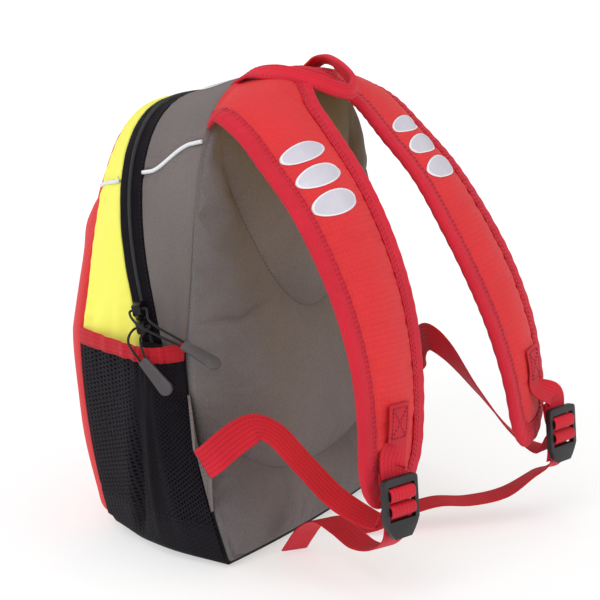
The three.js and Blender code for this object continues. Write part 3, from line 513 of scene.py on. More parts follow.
def seam_point(seam, station):
    station = np.asarray(station, float)
    near = np.where(station > 2, 4 - station, station)
    down = np.clip(1 - near, 0, 1)
    share = np.clip(near - 1, 0, 1)
    y_foot, y_rim, y_mid, y_top = seam["y"]
    wide, high = arch(seam, share)
    middle = float(rounded(MID_SHARE))
    bend = (y_mid - mix(y_rim, y_top, middle)) / (middle * (1 - middle))
    eased = rounded(share)
    y_high = mix(y_rim, y_top, eased) + bend * eased * (1 - eased)
    low = near < 1
    x = np.where(low, seam["wide"] - (seam["wide"] - seam["foot_wide"]) * down ** 2, wide)
    y = np.where(low, y_rim + (y_foot - y_rim) * down ** 1.6, y_high)
    z = np.where(low, mix(seam["rim"], seam["foot"], down), high)
    return np.stack([np.where(station > 2, -x, x), y, z], axis=-1)


print("four seam lines, the back one", SEAMS[0]["top"], "mm high")

# %% [markdown]
# Between the seam lines the shell is a smooth curve through all four of them. Its outward direction,
# found from neighbouring points, lets cloth be lifted off the shell or sunk into it.

# %% Points on the shell
def curve(points, share):
    """Points at shares 0 to 1 of a smooth line. points: (knots, lines, 3) or (knots, 3)."""
    share = np.asarray(share, float)
    knots = np.asarray(points, float)
    if knots.ndim == 2:
        knots = np.repeat(knots[:, None, :], len(share), axis=1)
    place = np.clip(share, 0, 1) * (len(knots) - 1)
    first = np.clip(np.floor(place), 0, len(knots) - 2).astype(int)
    part = (place - first)[:, None]
    ends = [2 * knots[:1] - knots[1:2], knots, 2 * knots[-1:] - knots[-2:-1]]
    longer = np.concatenate(ends)
    line = np.arange(len(share))
    p0, p1, p2, p3 = (longer[first + step, line] for step in range(4))
    steps = (p1 - p0, p2 - p1, p3 - p2)
    gaps = [np.linalg.norm(step, axis=-1, keepdims=True) ** 0.5 for step in steps]
    d0, d1, d2 = (np.maximum(gap, 1e-4) for gap in gaps)
    start = ((p1 - p0) / d0 - (p2 - p0) / (d0 + d1) + (p2 - p1) / d1) * d1
    stop = ((p2 - p1) / d1 - (p3 - p1) / (d1 + d2) + (p3 - p2) / d2) * d1
    bend = -3 * p1 + 3 * p2 - 2 * start - stop
    twist = 2 * p1 - 2 * p2 + start + stop
    return p1 + part * (start + part * (bend + part * twist))


def shell_point(station, across):
    station, across = np.broadcast_arrays(np.asarray(station, float), np.asarray(across, float))
    knots = np.stack([seam_point(seam, station) for seam in SEAMS])
    return curve(knots, across / 3)


def shell_normal(station, across):
    station, across = np.broadcast_arrays(np.asarray(station, float), np.asarray(across, float))
    step = 0.01
    ahead = shell_point(np.minimum(station + step, 4), across)
    behind = shell_point(np.maximum(station - step, 0), across)
    front = shell_point(station, np.minimum(across + step, 3))
    back = shell_point(station, np.maximum(across - step, 0))
    return unit(np.cross(ahead - behind, front - back))


def off_shell(station, across, out):
    out = np.asarray(out, float)
    if out.ndim:
        out = out[:, None]
    return shell_point(station, across) + shell_normal(station, across) * out


def side_station(side, station):
    """The same place on the right or on the left side."""
    return station if side == "right" else 4 - station


print("the zip runs over the top at", np.round(shell_point([2.0], [1.5])[0], 1), "mm")

# %% [markdown]
# Cloth starts as a flat grid, like a cut pattern piece. A function then lays each of its points in
# space, and the map keeps the flat size in metres for the weave. Solidify gives the cloth its
# thickness. Each sheet is turned to face away from a point behind it.

# %% Cloth helpers
def add_piece(name, bm, material, replaces=(), thick=0.0, offset=-1.0):
    mesh = bpy.data.meshes.new(name)
    bm.to_mesh(mesh)
    bm.free()
    mesh.materials.append(material)
    mesh.polygons.foreach_set("use_smooth", [True] * len(mesh.polygons))
    piece = bpy.data.objects.new(name, mesh)
    bpy.context.collection.objects.link(piece)
    if thick:
        solidify = piece.modifiers.new("cloth", "SOLIDIFY")
        solidify.thickness = thick * MM
        solidify.offset = offset
        solidify.use_even_offset = False
    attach(piece, "root")
    if replaces:
        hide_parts(*replaces)
    return piece


def grid(columns, rows, size):
    """A flat grid with its corner at the origin and a map in metres."""
    bm = bmesh.new()
    layer = bm.loops.layers.uv.new("UVMap")
    bmesh.ops.create_grid(bm, x_segments=columns, y_segments=rows, size=0.5)
    bmesh.ops.translate(bm, verts=bm.verts, vec=(0.5, 0.5, 0.0))
    for face in bm.faces:
        for loop in face.loops:
            loop[layer].uv = (loop.vert.co.x * size[0] * MM, loop.vert.co.y * size[1] * MM)
    return bm


def lay(bm, place):
    """Moves each point of a grid to place(u, v), given in millimetres."""
    flat = np.array([vert.co[:2] for vert in bm.verts])
    for vert, spot in zip(bm.verts, place(flat[:, 0], flat[:, 1]) * MM):
        vert.co = spot
    bm.normal_update()
    return bm


def face_away(bm, middle):
    """Turns a sheet so that its faces look away from a point."""
    middle = Vector(middle) * MM
    looking = 0.0
    for face in bm.faces:
        looking += face.normal.dot(face.calc_center_median() - middle) * face.calc_area()
    if looking < 0:
        bmesh.ops.reverse_faces(bm, faces=bm.faces)
    return bm


BAG_MIDDLE = (0, -5, 140)
IN_FRONT = (0, -60, 140)
BEHIND = (0, 60, 140)
print("cloth helpers ready")

# %% [markdown]
# Tapes, webbing and cords are grids as well. They are rolled up round a section until their long edges
# meet, and then joined there and closed at both ends.

# %% Rolled pieces
JOIN = 0.02


def close_ends(bm):
    """Joins the long edges of a rolled-up grid, fills its open ends and turns it outward."""
    bmesh.ops.remove_doubles(bm, verts=bm.verts, dist=JOIN * MM)
    rim = [edge for edge in bm.edges if edge.is_boundary]
    if rim:
        bmesh.ops.holes_fill(bm, edges=rim, sides=0)
    bmesh.ops.recalc_face_normals(bm, faces=bm.faces)
    return bm


def section(v, width, thick, edge, face=0.6):
    """Places across and heights round a flat section with rounded edges."""
    turn = 2 * math.pi * v
    parts = ((0.5 * width, np.cos(turn), edge), (0.5 * thick, np.sin(turn), face))
    return [half * np.sign(wave) * np.abs(wave) ** power for half, wave, power in parts]


def lengths_along(points):
    return np.concatenate([[0], np.cumsum(np.linalg.norm(np.diff(points, axis=0), axis=1))])


def pick(spots, length, rows):
    """Rows of values, read off at places along a length."""
    return np.stack([np.interp(spots, length, column) for column in rows.T], axis=1)


print("rolling helpers ready")

# %% [markdown]
# Stitches are single threads: small rounded dashes in rows. Rows are collected while the pieces are
# made, and each colour of thread becomes one object at the end.

# %% Stitch helper
stitch_rows = {"red": [], "grey": [], "black": []}


def stitch(thread, points, lift=0.0, out=None, pitch=3.1, dash=2.3, radius=0.28):
    """A row of stitches along points (in millimetres), raised by lift along one direction, out."""
    points = np.asarray(points, float)
    length = lengths_along(points)
    count = max(int(length[-1] / pitch), 1)
    middle = (np.arange(count) + 0.5) * length[-1] / count
    at = pick(middle, length, points)
    way = unit(pick(middle + 0.5, length, points) - pick(middle - 0.5, length, points))
    if out is not None:
        at = at + lift * unit(np.asarray(out, float))
    stitch_rows[thread].append((at, way, dash, radius))


print("stitch helper ready")

# %% [markdown]
# The grey side wall is one strip of cloth from the right pocket over the top to the left pocket, and
# the yellow wall is its twin in front of the zip. Each is sewn at both long edges, so it rolls in
# there, is slack between and puckers a little along the seams. The piping seam pinches it on both sides.

# %% Side walls
def rear_seam(across):
    return mix(1.557, 1.497, smooth(across, 0.2, 0.82))


def front_seam(across):
    return mix(1.475, 1.5, smooth(across, 2.1, 2.95))


def ripples(along, pitch, seed):
    """Uneven waves along a length in millimetres, between -1 and 1."""
    wander = 0.35 * np.sin(along / (2.7 * pitch) + seed)
    wander = wander + 0.25 * np.sin(along / (1.3 * pitch) + 2.1 * seed)
    return np.sin(2 * math.pi * along / pitch + 4 * wander + seed)


WALL_WIDE = 48.0
WALL_ENDS = (0.968, 3.032)
WALLS = {"grey": (0.0, 0.995, rear_seam, 1.3), "yellow": (2.005, 2.995, front_seam, 4.1)}
WALL_CLOTHS = {"grey": (grey_cloth, "rear_gusset"), "yellow": (yellow_cloth, "front_gusset")}


def wall_relief(station, across, start, stop, seam, seed):
    share = (across - start) / (stop - start)
    over = share * WALL_WIDE
    along = station * ARCH_LENGTH
    near = np.where(station > 2, 4 - station, station)
    from_edge = np.minimum(share, 1 - share) * WALL_WIDE
    from_piping = (near - seam(across)) * ARCH_LENGTH
    from_pocket = (near - 1.0) * ARCH_LENGTH
    relief = 0.9 * np.sin(math.pi * share) - 1.1 * hump(from_edge, 0, 1.6)
    relief += 0.25 * hump(from_edge, 5, 3.5) * ripples(along, 11.0, seed)
    relief -= 0.9 * hump(from_piping, 0, 2.6)
    relief += 0.45 * hump(np.abs(from_piping), 7, 5) * ripples(over, 13.0, seed + 1)
    relief += 0.7 * hump(from_pocket, 0, 26) * ripples(over + 0.25 * from_pocket, 17.0, seed + 2)
    slack = ripples(along + 22 * share, 58.0, seed + 3) * np.sin(math.pi * share)
    return relief + 0.55 * slack


def side_wall(start, stop, seam, seed):
    def place(u, v):
        station = mix(*WALL_ENDS, u)
        across = mix(start, stop, v)
        return off_shell(station, across, wall_relief(station, across, start, stop, seam, seed))
    return face_away(lay(grid(300, 40, (2 * ARCH_LENGTH, WALL_WIDE)), place), BAG_MIDDLE)


for dye, (cloth, node) in WALL_CLOTHS.items():
    nodes = (f"{node}_right", f"{node}_left", f"{node}_top")
    add_piece(f"{dye}_wall", side_wall(*WALLS[dye]), cloth, nodes, 1.4)
print("side walls laid on the shell")

# %% [markdown]
# Piping is a thin cord wrapped in reflective film and caught in the seam. It is a flat grid rolled into
# a tube round a line on the shell.

# %% Piping
def tube(line, radius, columns, sides, out):
    """A grid rolled round a line of points, with its ends closed."""
    length = lengths_along(line)
    ahead = unit(np.gradient(line, axis=0))
    side = unit(np.cross(ahead, np.broadcast_to(np.asarray(out, float), line.shape)))
    up = np.cross(side, ahead)

    def place(u, v):
        at, wide, high = (pick(u * length[-1], length, rows) for rows in (line, side, up))
        turn = 2 * math.pi * v[:, None]
        return at + radius * (np.cos(turn) * wide + np.sin(turn) * high)
    return close_ends(lay(grid(columns, sides, (length[-1], 2 * math.pi * radius)), place))


PIPING_RADIUS = 1.3
PIPING_LINES = {
    "piping_rear": (rear_seam, 0.02, 0.985, "grey"),
    "piping_front": (front_seam, 2.01, 2.99, "black"),
}
STITCH_ASIDE = 3.0
for name, (seam, start, stop, thread) in PIPING_LINES.items():
    for side in ("right", "left"):
        across = np.linspace(start, stop, 60)
        station = side_station(side, seam(across))
        line = off_shell(station, across, 0.35)
        cord = tube(line, PIPING_RADIUS, 60, 12, shell_normal(station, across))
        node = f"{name}_{side}"
        add_piece(f"reflective_{node}", cord, film_white, (node,))
        for offset in (-STITCH_ASIDE, STITCH_ASIDE):
            row = off_shell(station + offset / ARCH_LENGTH, across, -0.35)
            stitch(thread, row[2:-2], pitch=2.8, dash=2.0, radius=0.22)
print("four lines of piping")

# %% [markdown]
# The zip is two woven tapes and a nylon coil. The coil is a narrow band raised in ridges: one for each
# turn of the nylon, with the two halves set half a turn apart so that they lock along the middle.

# %% Zip
ZIP_ENDS = (1.002, 2.998)
ZIP_PARTS = {"rear": (1.0, 1.415, 1.06, 3.0), "front": (1.585, 2.0, 1.94, 5.5)}
for name, (start, stop, edge, seed) in ZIP_PARTS.items():
    def tape_place(u, v, start=start, stop=stop, seed=seed):
        station = mix(*ZIP_ENDS, u)
        across = mix(start, stop, v)
        sink = -0.5 - 0.5 * smooth(np.abs(across - 1.5), 0.42, 0.5)
        return off_shell(station, across, sink + 0.16 * ripples(station * ARCH_LENGTH, 23.0, seed))
    bm = face_away(lay(grid(260, 8, (2 * ARCH_LENGTH, 7)), tape_place), BAG_MIDDLE)
    add_piece(f"zip_tape_{name}_cloth", bm, zip_black, (f"zip_tape_{name}",), 0.8)
    row = off_shell(np.linspace(1.01, 2.99, 400), np.full(400, edge), -0.45)
    stitch("black", row, pitch=3.0, dash=2.1, radius=0.22)

COIL_PITCH = 1.55
COIL_TURNS = int(2 * ARCH_LENGTH / COIL_PITCH)


def coil_place(u, v):
    station = mix(*ZIP_ENDS, u)
    across = mix(1.42, 1.58, v)
    from_middle = 2 * (v - 0.5)
    phase = u * COIL_TURNS + np.where(from_middle > 0, 0.5, 0.0)
    ridge = 0.5 + 0.5 * np.cos(2 * math.pi * phase)
    body = np.sqrt(np.maximum(1 - np.abs(from_middle) ** 3, 0))
    return off_shell(station, across, -0.6 + (0.85 + 0.75 * ridge) * body)


bm = face_away(lay(grid(6 * COIL_TURNS, 8, (2 * ARCH_LENGTH, 3)), coil_place), BAG_MIDDLE)
coil_finish = moulded("zip_nylon", colour(20, 18, 23), 0.42)
add_piece("zip_nylon_coil", bm, coil_finish, ("zip_coil",))
print(COIL_TURNS, "turns in the zip coil")

# %% [markdown]
# The two large panels are domes. A square grid is drawn out into a disc, so that no point of the cloth
# is crowded, and every spoke of the disc ends on the panel's rim: a hoop of seam line and a foot, which
# bows out a little.

# %% Panel helpers
HOOP_SHARE = 0.8
FOOT_BOW = {"back": 5.0, "front": -7.0}


def foot_edge(seam, bow, share):
    x = mix(-seam["foot_wide"], seam["foot_wide"], share)
    y = seam["y"][0] + bow * (1 - (2 * share - 1) ** 2)
    return np.stack([x, y, np.full_like(x, seam["foot"])], axis=-1)


def hoop_and_foot(turn):
    """A place round a panel's rim, as a station on its seam and as a share of its foot."""
    station = np.clip(4 * turn / HOOP_SHARE, 0, 4)
    return station, np.clip((turn - HOOP_SHARE) / (1 - HOOP_SHARE), 0, 1)


def to_disc(a, b):
    """Draws a square from -1 to 1 out into a disc."""
    return a * np.sqrt(1 - b ** 2 / 2), b * np.sqrt(1 - a ** 2 / 2)


def disc_spokes(u, v, rim, middle):
    """Turns a unit square into reach along a spoke and that spoke's place round the rim."""
    x, z = to_disc(2 * u - 1, 2 * v - 1)
    turns = np.linspace(0, 1, 1441)
    edge = rim(turns)
    angle = np.unwrap(np.arctan2(edge[:, 2] - middle[2], edge[:, 0] - middle[0]))
    if angle[-1] < angle[0]:
        angle, turns = angle[::-1], turns[::-1]
    here = np.arctan2(z, x)
    here = angle[0] + np.mod(here - angle[0], 2 * math.pi)
    return np.clip(np.hypot(x, z), 0, 1), np.interp(here, angle, turns)


def dome(edge, middle, fullness, reach):
    rise = np.maximum(1 - reach ** fullness, 0) ** (1 / fullness)
    return np.stack([
        mix(middle[0], edge[:, 0], reach),
        mix(edge[:, 1], middle[1], rise),
        mix(middle[2], edge[:, 2], reach),
    ], axis=-1)


print("panel helpers ready")

# %% [markdown]
# The red front panel carries a curved seam on each side, running from the piping down to the lower
# corner. It draws the cloth in, and the flank below the piping puffs out beside it.

# %% Front panel
FRONT_MIDDLE = np.array([0.0, -90.0, 128.0])
PANEL_SEAM = np.array([
    (84, 229, 0), (73, 216, 0), (69.5, 196, 0), (71, 165, 0), (71.5, 130, 0),
    (69, 95, 0), (63.5, 62, 0), (56, 35, 0), (49, 17, 0),
])
seam_line = curve(PANEL_SEAM, np.linspace(0, 1, 160))[:, :2]
FRONT_FULLNESS = 1.75
PUFF = {"x": (82, 13), "z": (209, 15), "out": 4.0, "forward": 3.5}


def front_rim(turn):
    station, share = hoop_and_foot(turn)
    foot = foot_edge(SEAMS[3], FOOT_BOW["front"], share)
    return np.where((turn < HOOP_SHARE)[:, None], seam_point(SEAMS[3], station), foot)


def from_panel_seam(x, z):
    spots = np.column_stack([np.abs(x), z])
    return np.min(np.linalg.norm(spots[:, None, :] - seam_line[None, ::2, :], axis=2), axis=1)


def front_place(u, v):
    reach, turn = disc_spokes(u, v, front_rim, FRONT_MIDDLE)
    corner = hump(np.abs(4 * turn / HOOP_SHARE - 2), 0.45, 0.3)
    edge = front_rim(turn)
    full = dome(edge, FRONT_MIDDLE, FRONT_FULLNESS, reach)
    slim = dome(edge, FRONT_MIDDLE, FRONT_FULLNESS - 0.5 * corner, reach)
    skin = mix(full, slim, smooth(reach, 0.5, 0.85)[:, None])
    x, z = skin[:, 0].copy(), skin[:, 2]
    away = from_panel_seam(x, z)
    inside = 1 - reach ** 8
    groove = 2.4 * hump(away, 0, 2.0) - 1.0 * hump(away, 7, 5)
    pucker = 0.4 * hump(away, 3.5, 3.5) * ripples(z, 12.0, 2.4)
    slack = 0.8 * hump(away, 14, 18) * ripples(z + 0.2 * np.abs(x), 61.0, 0.7)
    foot = 1.3 * hump(z, 26, 20) * ripples(x, 27.0, 1.9)
    rim_roll = 1.2 * hump((1 - reach) * 90, 0, 1.8)
    puff = inside * hump(np.abs(x), *PUFF["x"]) * hump(z, *PUFF["z"])
    skin[:, 1] += inside * (groove + pucker + slack + foot) + rim_roll - PUFF["forward"] * puff
    skin[:, 0] += PUFF["out"] * puff * np.sign(x)
    return skin


bm = face_away(lay(grid(150, 150, (300, 300)), front_place), BEHIND)
front_tree = BVHTree.FromBMesh(bm)
add_piece("front_cover", bm, red_front, ("front_panel",), 1.4)


def cast(tree, x, z, start_y, way):
    """Points of a surface straight behind or in front of x, z, in millimetres."""
    found = []
    for spot_x, spot_z in zip(x, z):
        start = Vector((spot_x, start_y, spot_z)) * MM
        hit = tree.ray_cast(start, Vector((0, way, 0)))[0] or tree.find_nearest(start)[0]
        found.append([c / MM for c in hit])
    return np.array(found)


for sign in (1, -1):
    row = cast(front_tree, sign * (seam_line[2:-4, 0] - 2.4), seam_line[2:-4, 1], -200, 1)
    stitch("red", row, 0.05, (0, -1, 0), pitch=2.9, dash=2.0, radius=0.2)
print("front panel with two shaped seams")

# %% [markdown]
# Two columns of silver ovals run down the front, with more on the straps and one large oval on top.
# They are printed film, so each is a thin disc that lies on the cloth. Its outer ring of faces is
# white.

# %% Ovals
OVAL_RIM = 0.9
OVAL_LIFT = 0.12


def add_oval(bm, cells, put):
    """One disc: put(a, b) lays points of the unit circle. Its outer faces take the second material."""
    made = bmesh.ops.create_grid(bm, x_segments=cells, y_segments=cells, size=1.0)
    verts = made["verts"]
    flat = np.array([vert.co[:2] for vert in verts])
    outer = np.max(np.abs(flat), axis=1) > 1 - 1e-4
    edge_verts = {vert for vert, last in zip(verts, outer) if last}
    for face in {face for vert in edge_verts for face in vert.link_faces}:
        face.material_index = 1
    a, b = to_disc(flat[:, 0], flat[:, 1])
    ring = (np.max(np.abs(flat), axis=1) > 1 - 2.5 / cells) & ~outer
    grow = np.where(ring, OVAL_RIM / np.maximum(np.hypot(a, b), 1e-6), 1.0)
    for vert, spot in zip(verts, put(a * grow, b * grow) * MM):
        vert.co = spot


def finish_ovals(name, bm, away_from):
    face_away(bm, away_from)
    piece = add_piece(name, bm, film_silver, (), 0.25, 1.0)
    piece.data.materials.append(film_rim)


FRONT_OVALS = {"column": 30.0, "count": 12, "top": 254.0, "bottom": 76.0, "size": (13.5, 6.7)}
bm = bmesh.new()
for z in np.linspace(FRONT_OVALS["top"], FRONT_OVALS["bottom"], FRONT_OVALS["count"]):
    for sign in (1, -1):
        def on_front(a, b, z=z, sign=sign):
            half_wide, half_high = FRONT_OVALS["size"]
            x = sign * FRONT_OVALS["column"] + half_wide * a
            return cast(front_tree, x, z + half_high * b, -200, 1) - np.array([0, OVAL_LIFT, 0])
        add_oval(bm, 8, on_front)
finish_ovals("front_ovals", bm, BEHIND)


TOP_OVAL = {"half_wide": 32, "half_deep": 0.3116, "across": 0.5}


def on_top(a, b):
    across = TOP_OVAL["across"] + TOP_OVAL["half_deep"] * b
    station = 2 + a * TOP_OVAL["half_wide"] / ARCH_LENGTH
    return off_shell(station, across, wall_relief(station, across, *WALLS["grey"]) + OVAL_LIFT)


bm = bmesh.new()
add_oval(bm, 12, on_top)
finish_ovals("top_oval", bm, BAG_MIDDLE)
print(2 * FRONT_OVALS["count"], "ovals on the front and one on top")

# %% [markdown]
# A short cloth simulation settles the padded pieces. Points that are sewn stay pinned; the rest is
# given a little slack and the push of the foam behind it, and settles between the seams. It runs at ten
# times the size, where the solver is steady, and the settled mesh is kept.

# %% Settling padded cloth
SETTLE_FRAMES = 16
SETTLE_SCALE = 10.0
CLOTH_SETTINGS = {
    "quality": 6, "mass": 0.2, "air_damping": 4.0, "vertex_group_mass": "sewn", "use_pressure": True,
    "tension_stiffness": 12.0, "compression_stiffness": 12.0, "shear_stiffness": 6.0,
    "bending_stiffness": 1.5,
}


def settle(piece, sewn, slack, push):
    piece.data.transform(Matrix.Scale(SETTLE_SCALE, 4))
    group = piece.vertex_groups.new(name="sewn")
    group.add([int(index) for index in np.flatnonzero(sewn)], 1.0, "REPLACE")
    cloth = piece.modifiers.new("settle", "CLOTH")
    for key, setting in CLOTH_SETTINGS.items():
        setattr(cloth.settings, key, setting)
    cloth.settings.shrink_min = -slack
    cloth.settings.uniform_pressure_force = push
    cloth.settings.effector_weights.gravity = 0.0
    cloth.collision_settings.use_collision = False
    cloth.point_cache.frame_start = 1
    cloth.point_cache.frame_end = SETTLE_FRAMES
    scene = bpy.context.scene
    for step in range(1, SETTLE_FRAMES + 1):
        scene.frame_set(step)
    view = bpy.context.evaluated_depsgraph_get()
    settled = bpy.data.meshes.new_from_object(piece.evaluated_get(view))
    settled.transform(Matrix.Scale(1 / SETTLE_SCALE, 4))
    piece.modifiers.remove(cloth)
    before = np.array([vert.co[:] for vert in piece.data.vertices]) / SETTLE_SCALE
    after = np.array([vert.co[:] for vert in settled.vertices])
    piece.data = settled
    scene.frame_set(1)
    moved = np.linalg.norm(after - before, axis=1) / MM
    mean, most = (round(float(amount), 2) for amount in (moved.mean(), moved.max()))
    print(piece.name, "settled by", mean, "mm, at most", most)


def surface_of(piece):
    """The piece's mesh as a tree, to find points on it."""
    spots = [vert.co[:] for vert in piece.data.vertices]
    return BVHTree.FromPolygons(spots, [face.vertices[:] for face in piece.data.polygons])


def thicken(piece, thick, shares=None):
    """Gives settled cloth its padding, thinner where a point's share is under 1."""
    solidify = piece.modifiers.new("padding", "SOLIDIFY")
    solidify.thickness = thick * MM
    solidify.offset = -1.0
    solidify.use_even_offset = False
    if shares is not None:
        group = piece.vertex_groups.new(name="padding")
        for index, share in enumerate(shares):
            group.add([index], float(share), "REPLACE")
        solidify.vertex_group = group.name


print("settling helper ready")

# %% [markdown]
# The back panel is a padded dome, quilted along two lines: a shield between the straps and the foot of
# a cushion below it. The lines are sewn down, and the cloth swells between them. A soft fold, without
# stitches, runs in from each side seam where the cushion starts.

# %% Back panel
BACK_MIDDLE = np.array([0.0, 73.0, 126.0])
BACK_INSET = 1.2
QUILT_LINES = [
    (84, lambda x: 152 + 110 * (x / 82) ** 2.2),
    (96, lambda x: 47 + 21 * (x / 77) ** 2.5),
]


def back_rim(turn):
    station, share = hoop_and_foot(turn)
    hoop = off_shell(station, np.zeros_like(station), -BACK_INSET)
    foot = foot_edge(SEAMS[0], FOOT_BOW["back"], share)
    corner = off_shell(np.zeros(1), np.zeros(1), -BACK_INSET)[0]
    foot = foot * np.array([corner[0] / SEAMS[0]["foot_wide"], 1, 1])
    foot = foot + np.array([0, corner[1] - SEAMS[0]["y"][0], 0])
    return np.where((turn < HOOP_SHARE)[:, None], hoop, foot)


def from_quilt(x, z):
    side = np.abs(x)
    away = np.full(len(x), 99.0)
    for reach, height in QUILT_LINES:
        slope = (height(side + 1) - height(np.maximum(side - 1, 0))) / 2
        this = np.abs(z - height(side)) / np.hypot(1, slope)
        away = np.minimum(away, this + 60 * smooth(side, reach - 8, reach))
    return away


def cushion_fold(x, z):
    """The soft fold above the lower cushion, deepest towards the side seams."""
    side = np.abs(x)
    height = 163 - 9 * ((side - 66) / 38) ** 2
    fold = 3.4 * hump(z, height, 8) - 1.0 * hump(z, height - 17, 11)
    return smooth(side, 40, 88) * fold


back_facts = {}


def back_place(u, v):
    reach, turn = disc_spokes(u, v, back_rim, BACK_MIDDLE)
    edge = back_rim(turn)
    skin = dome(edge, BACK_MIDDLE, mix(1.9, 1.3, smooth(edge[:, 2], 60, 280)), reach)
    away = from_quilt(skin[:, 0], skin[:, 2])
    groove = 4.0 * hump(away, 0, 10.0) + 1.8 * hump(away, 0, 2.8)
    skin[:, 1] -= (groove + cushion_fold(skin[:, 0], skin[:, 2])) * (1 - reach ** 12)
    back_facts["sewn"] = (reach > 0.985) | (away < 1.3)
    return skin


bm = face_away(lay(grid(150, 150, (300, 300)), back_place), IN_FRONT)
back_cover = add_piece("back_padding", bm, grey_padding, ("back_panel",))
settle(back_cover, back_facts["sewn"], 0.022, 1.8)
back_tree = surface_of(back_cover)
thicken(back_cover, 3.0)
for reach, height in QUILT_LINES:
    x = np.linspace(6 - reach, reach - 6, 220)
    row = cast(back_tree, x, height(np.abs(x)), 300, -1)
    stitch("grey", row, 0.1, (0, 1, 0), pitch=3.0, dash=2.2, radius=0.26)
print("back panel quilted along", len(QUILT_LINES), "lines")

# %% [markdown]
# The base is a shallow pan of black cloth. It lies flat on the floor and turns up to meet the walls,
# with a wider curl in front.

# %% Base
BASE_MIDDLE = np.array([0.0, 6.0, 0.0])
BASE_CORNERS = (0.2, 0.5, 0.7)
BASE_RINGS = [0, 0.4, 0.7, 0.85, 1]
BASE_FLAT = [0, 0.5, 0.94, 0.985, 1]
BASE_CURL = [0, 0.4, 0.74, 0.93, 1]


def base_rim(turn):
    ends = (0.0, *BASE_CORNERS, 1.0)
    shares = [np.clip((turn - a) / (b - a), 0, 1) for a, b in zip(ends, ends[1:])]
    right = shell_point(np.zeros_like(turn), 3 * shares[0])
    front = foot_edge(SEAMS[3], FOOT_BOW["front"], 1 - shares[1])
    left = shell_point(np.full_like(turn, 4.0), 3 - 3 * shares[2])
    back = foot_edge(SEAMS[0], FOOT_BOW["back"], shares[3])
    sides = np.stack([right, front, left, back])
    return sides[np.digitize(turn, BASE_CORNERS), np.arange(len(turn))]


def base_spokes(turn):
    return base_rim(turn)[:, [0, 2, 1]]


def base_place(u, v):
    reach, turn = disc_spokes(u, v, base_spokes, BASE_MIDDLE[[0, 2, 1]])
    rim = base_rim(turn)
    flat = rim[:, :2] - BASE_MIDDLE[:2]
    forward = smooth(-flat[:, 1] / np.linalg.norm(flat, axis=1), 0.2, 0.9)
    flat_share, curled = (np.interp(reach, BASE_RINGS, ring) for ring in (BASE_FLAT, BASE_CURL))
    spot = BASE_MIDDLE[:2] + flat * mix(flat_share, curled, forward)[:, None]
    lift = np.maximum(rim[:, 2] - 0.3, 0) * smooth(reach, 0.66, 1.02) ** 1.2
    return np.column_stack([spot, lift])


bm = face_away(lay(grid(80, 80, (200, 110)), base_place), (0, 6, 60))
add_piece("base_cloth", bm, black_cloth, ("base",), 1.2)
print("base laid flat")

# %% [markdown]
# Each side has a plain black wall with a net pocket in front of it. The net is cut wider than the wall,
# so it stands away from it in a few long folds. Elastic tape gathers its upper edge.

# %% Side pockets
POCKET_FOLDS = [(0.95, 0.5, 2.6, 0.2), (1.55, -0.5, 2.0, 0.18), (2.2, -0.5, 2.4, 0.2)]
POCKET_CREASE = {"at": 2.02, "lean": -0.6, "depth": 5.0, "wide": 0.085}
POCKET_TOP = 0.958
TAPE_TOP = 1.026
TAPE_SAG = 0.03
POCKET_HIGH = 136.0
POCKET_WIDE = 36.0
STRIP_SEAM = 0.175


def pocket_out(station, across):
    belly = np.sin(math.pi * across / 3) ** 0.8
    low = np.minimum(station, 1)
    out = 9.0 * belly * (0.35 + 0.65 * low)
    for at, lean, depth, wide in POCKET_FOLDS:
        away = (across - at - lean * (station - 0.5)) / wide
        out = out + depth * belly * np.exp(-away ** 2) * np.sin(math.pi * low)
    crease_at = POCKET_CREASE["at"] + POCKET_CREASE["lean"] * (station - 0.5)
    low_down = smooth(0.75 - low, 0, 0.35) * smooth(low, 0, 0.12)
    out = out - POCKET_CREASE["depth"] * low_down * hump(across, crease_at, POCKET_CREASE["wide"])
    gather = hump(low, 1, 0.16)
    out = out + 0.7 * gather * belly * ripples(across * POCKET_WIDE, 9.5, 1.1)
    return 0.5 + out


def tape_wobble(across):
    return 0.25 * ripples(across * POCKET_WIDE, 7.0, 2.0)


def sagged(station, across):
    """A station on the pocket, let down in the middle of its slack upper edge."""
    return station - TAPE_SAG * np.sin(math.pi * across / 3) * smooth(station, 0.4, 1)


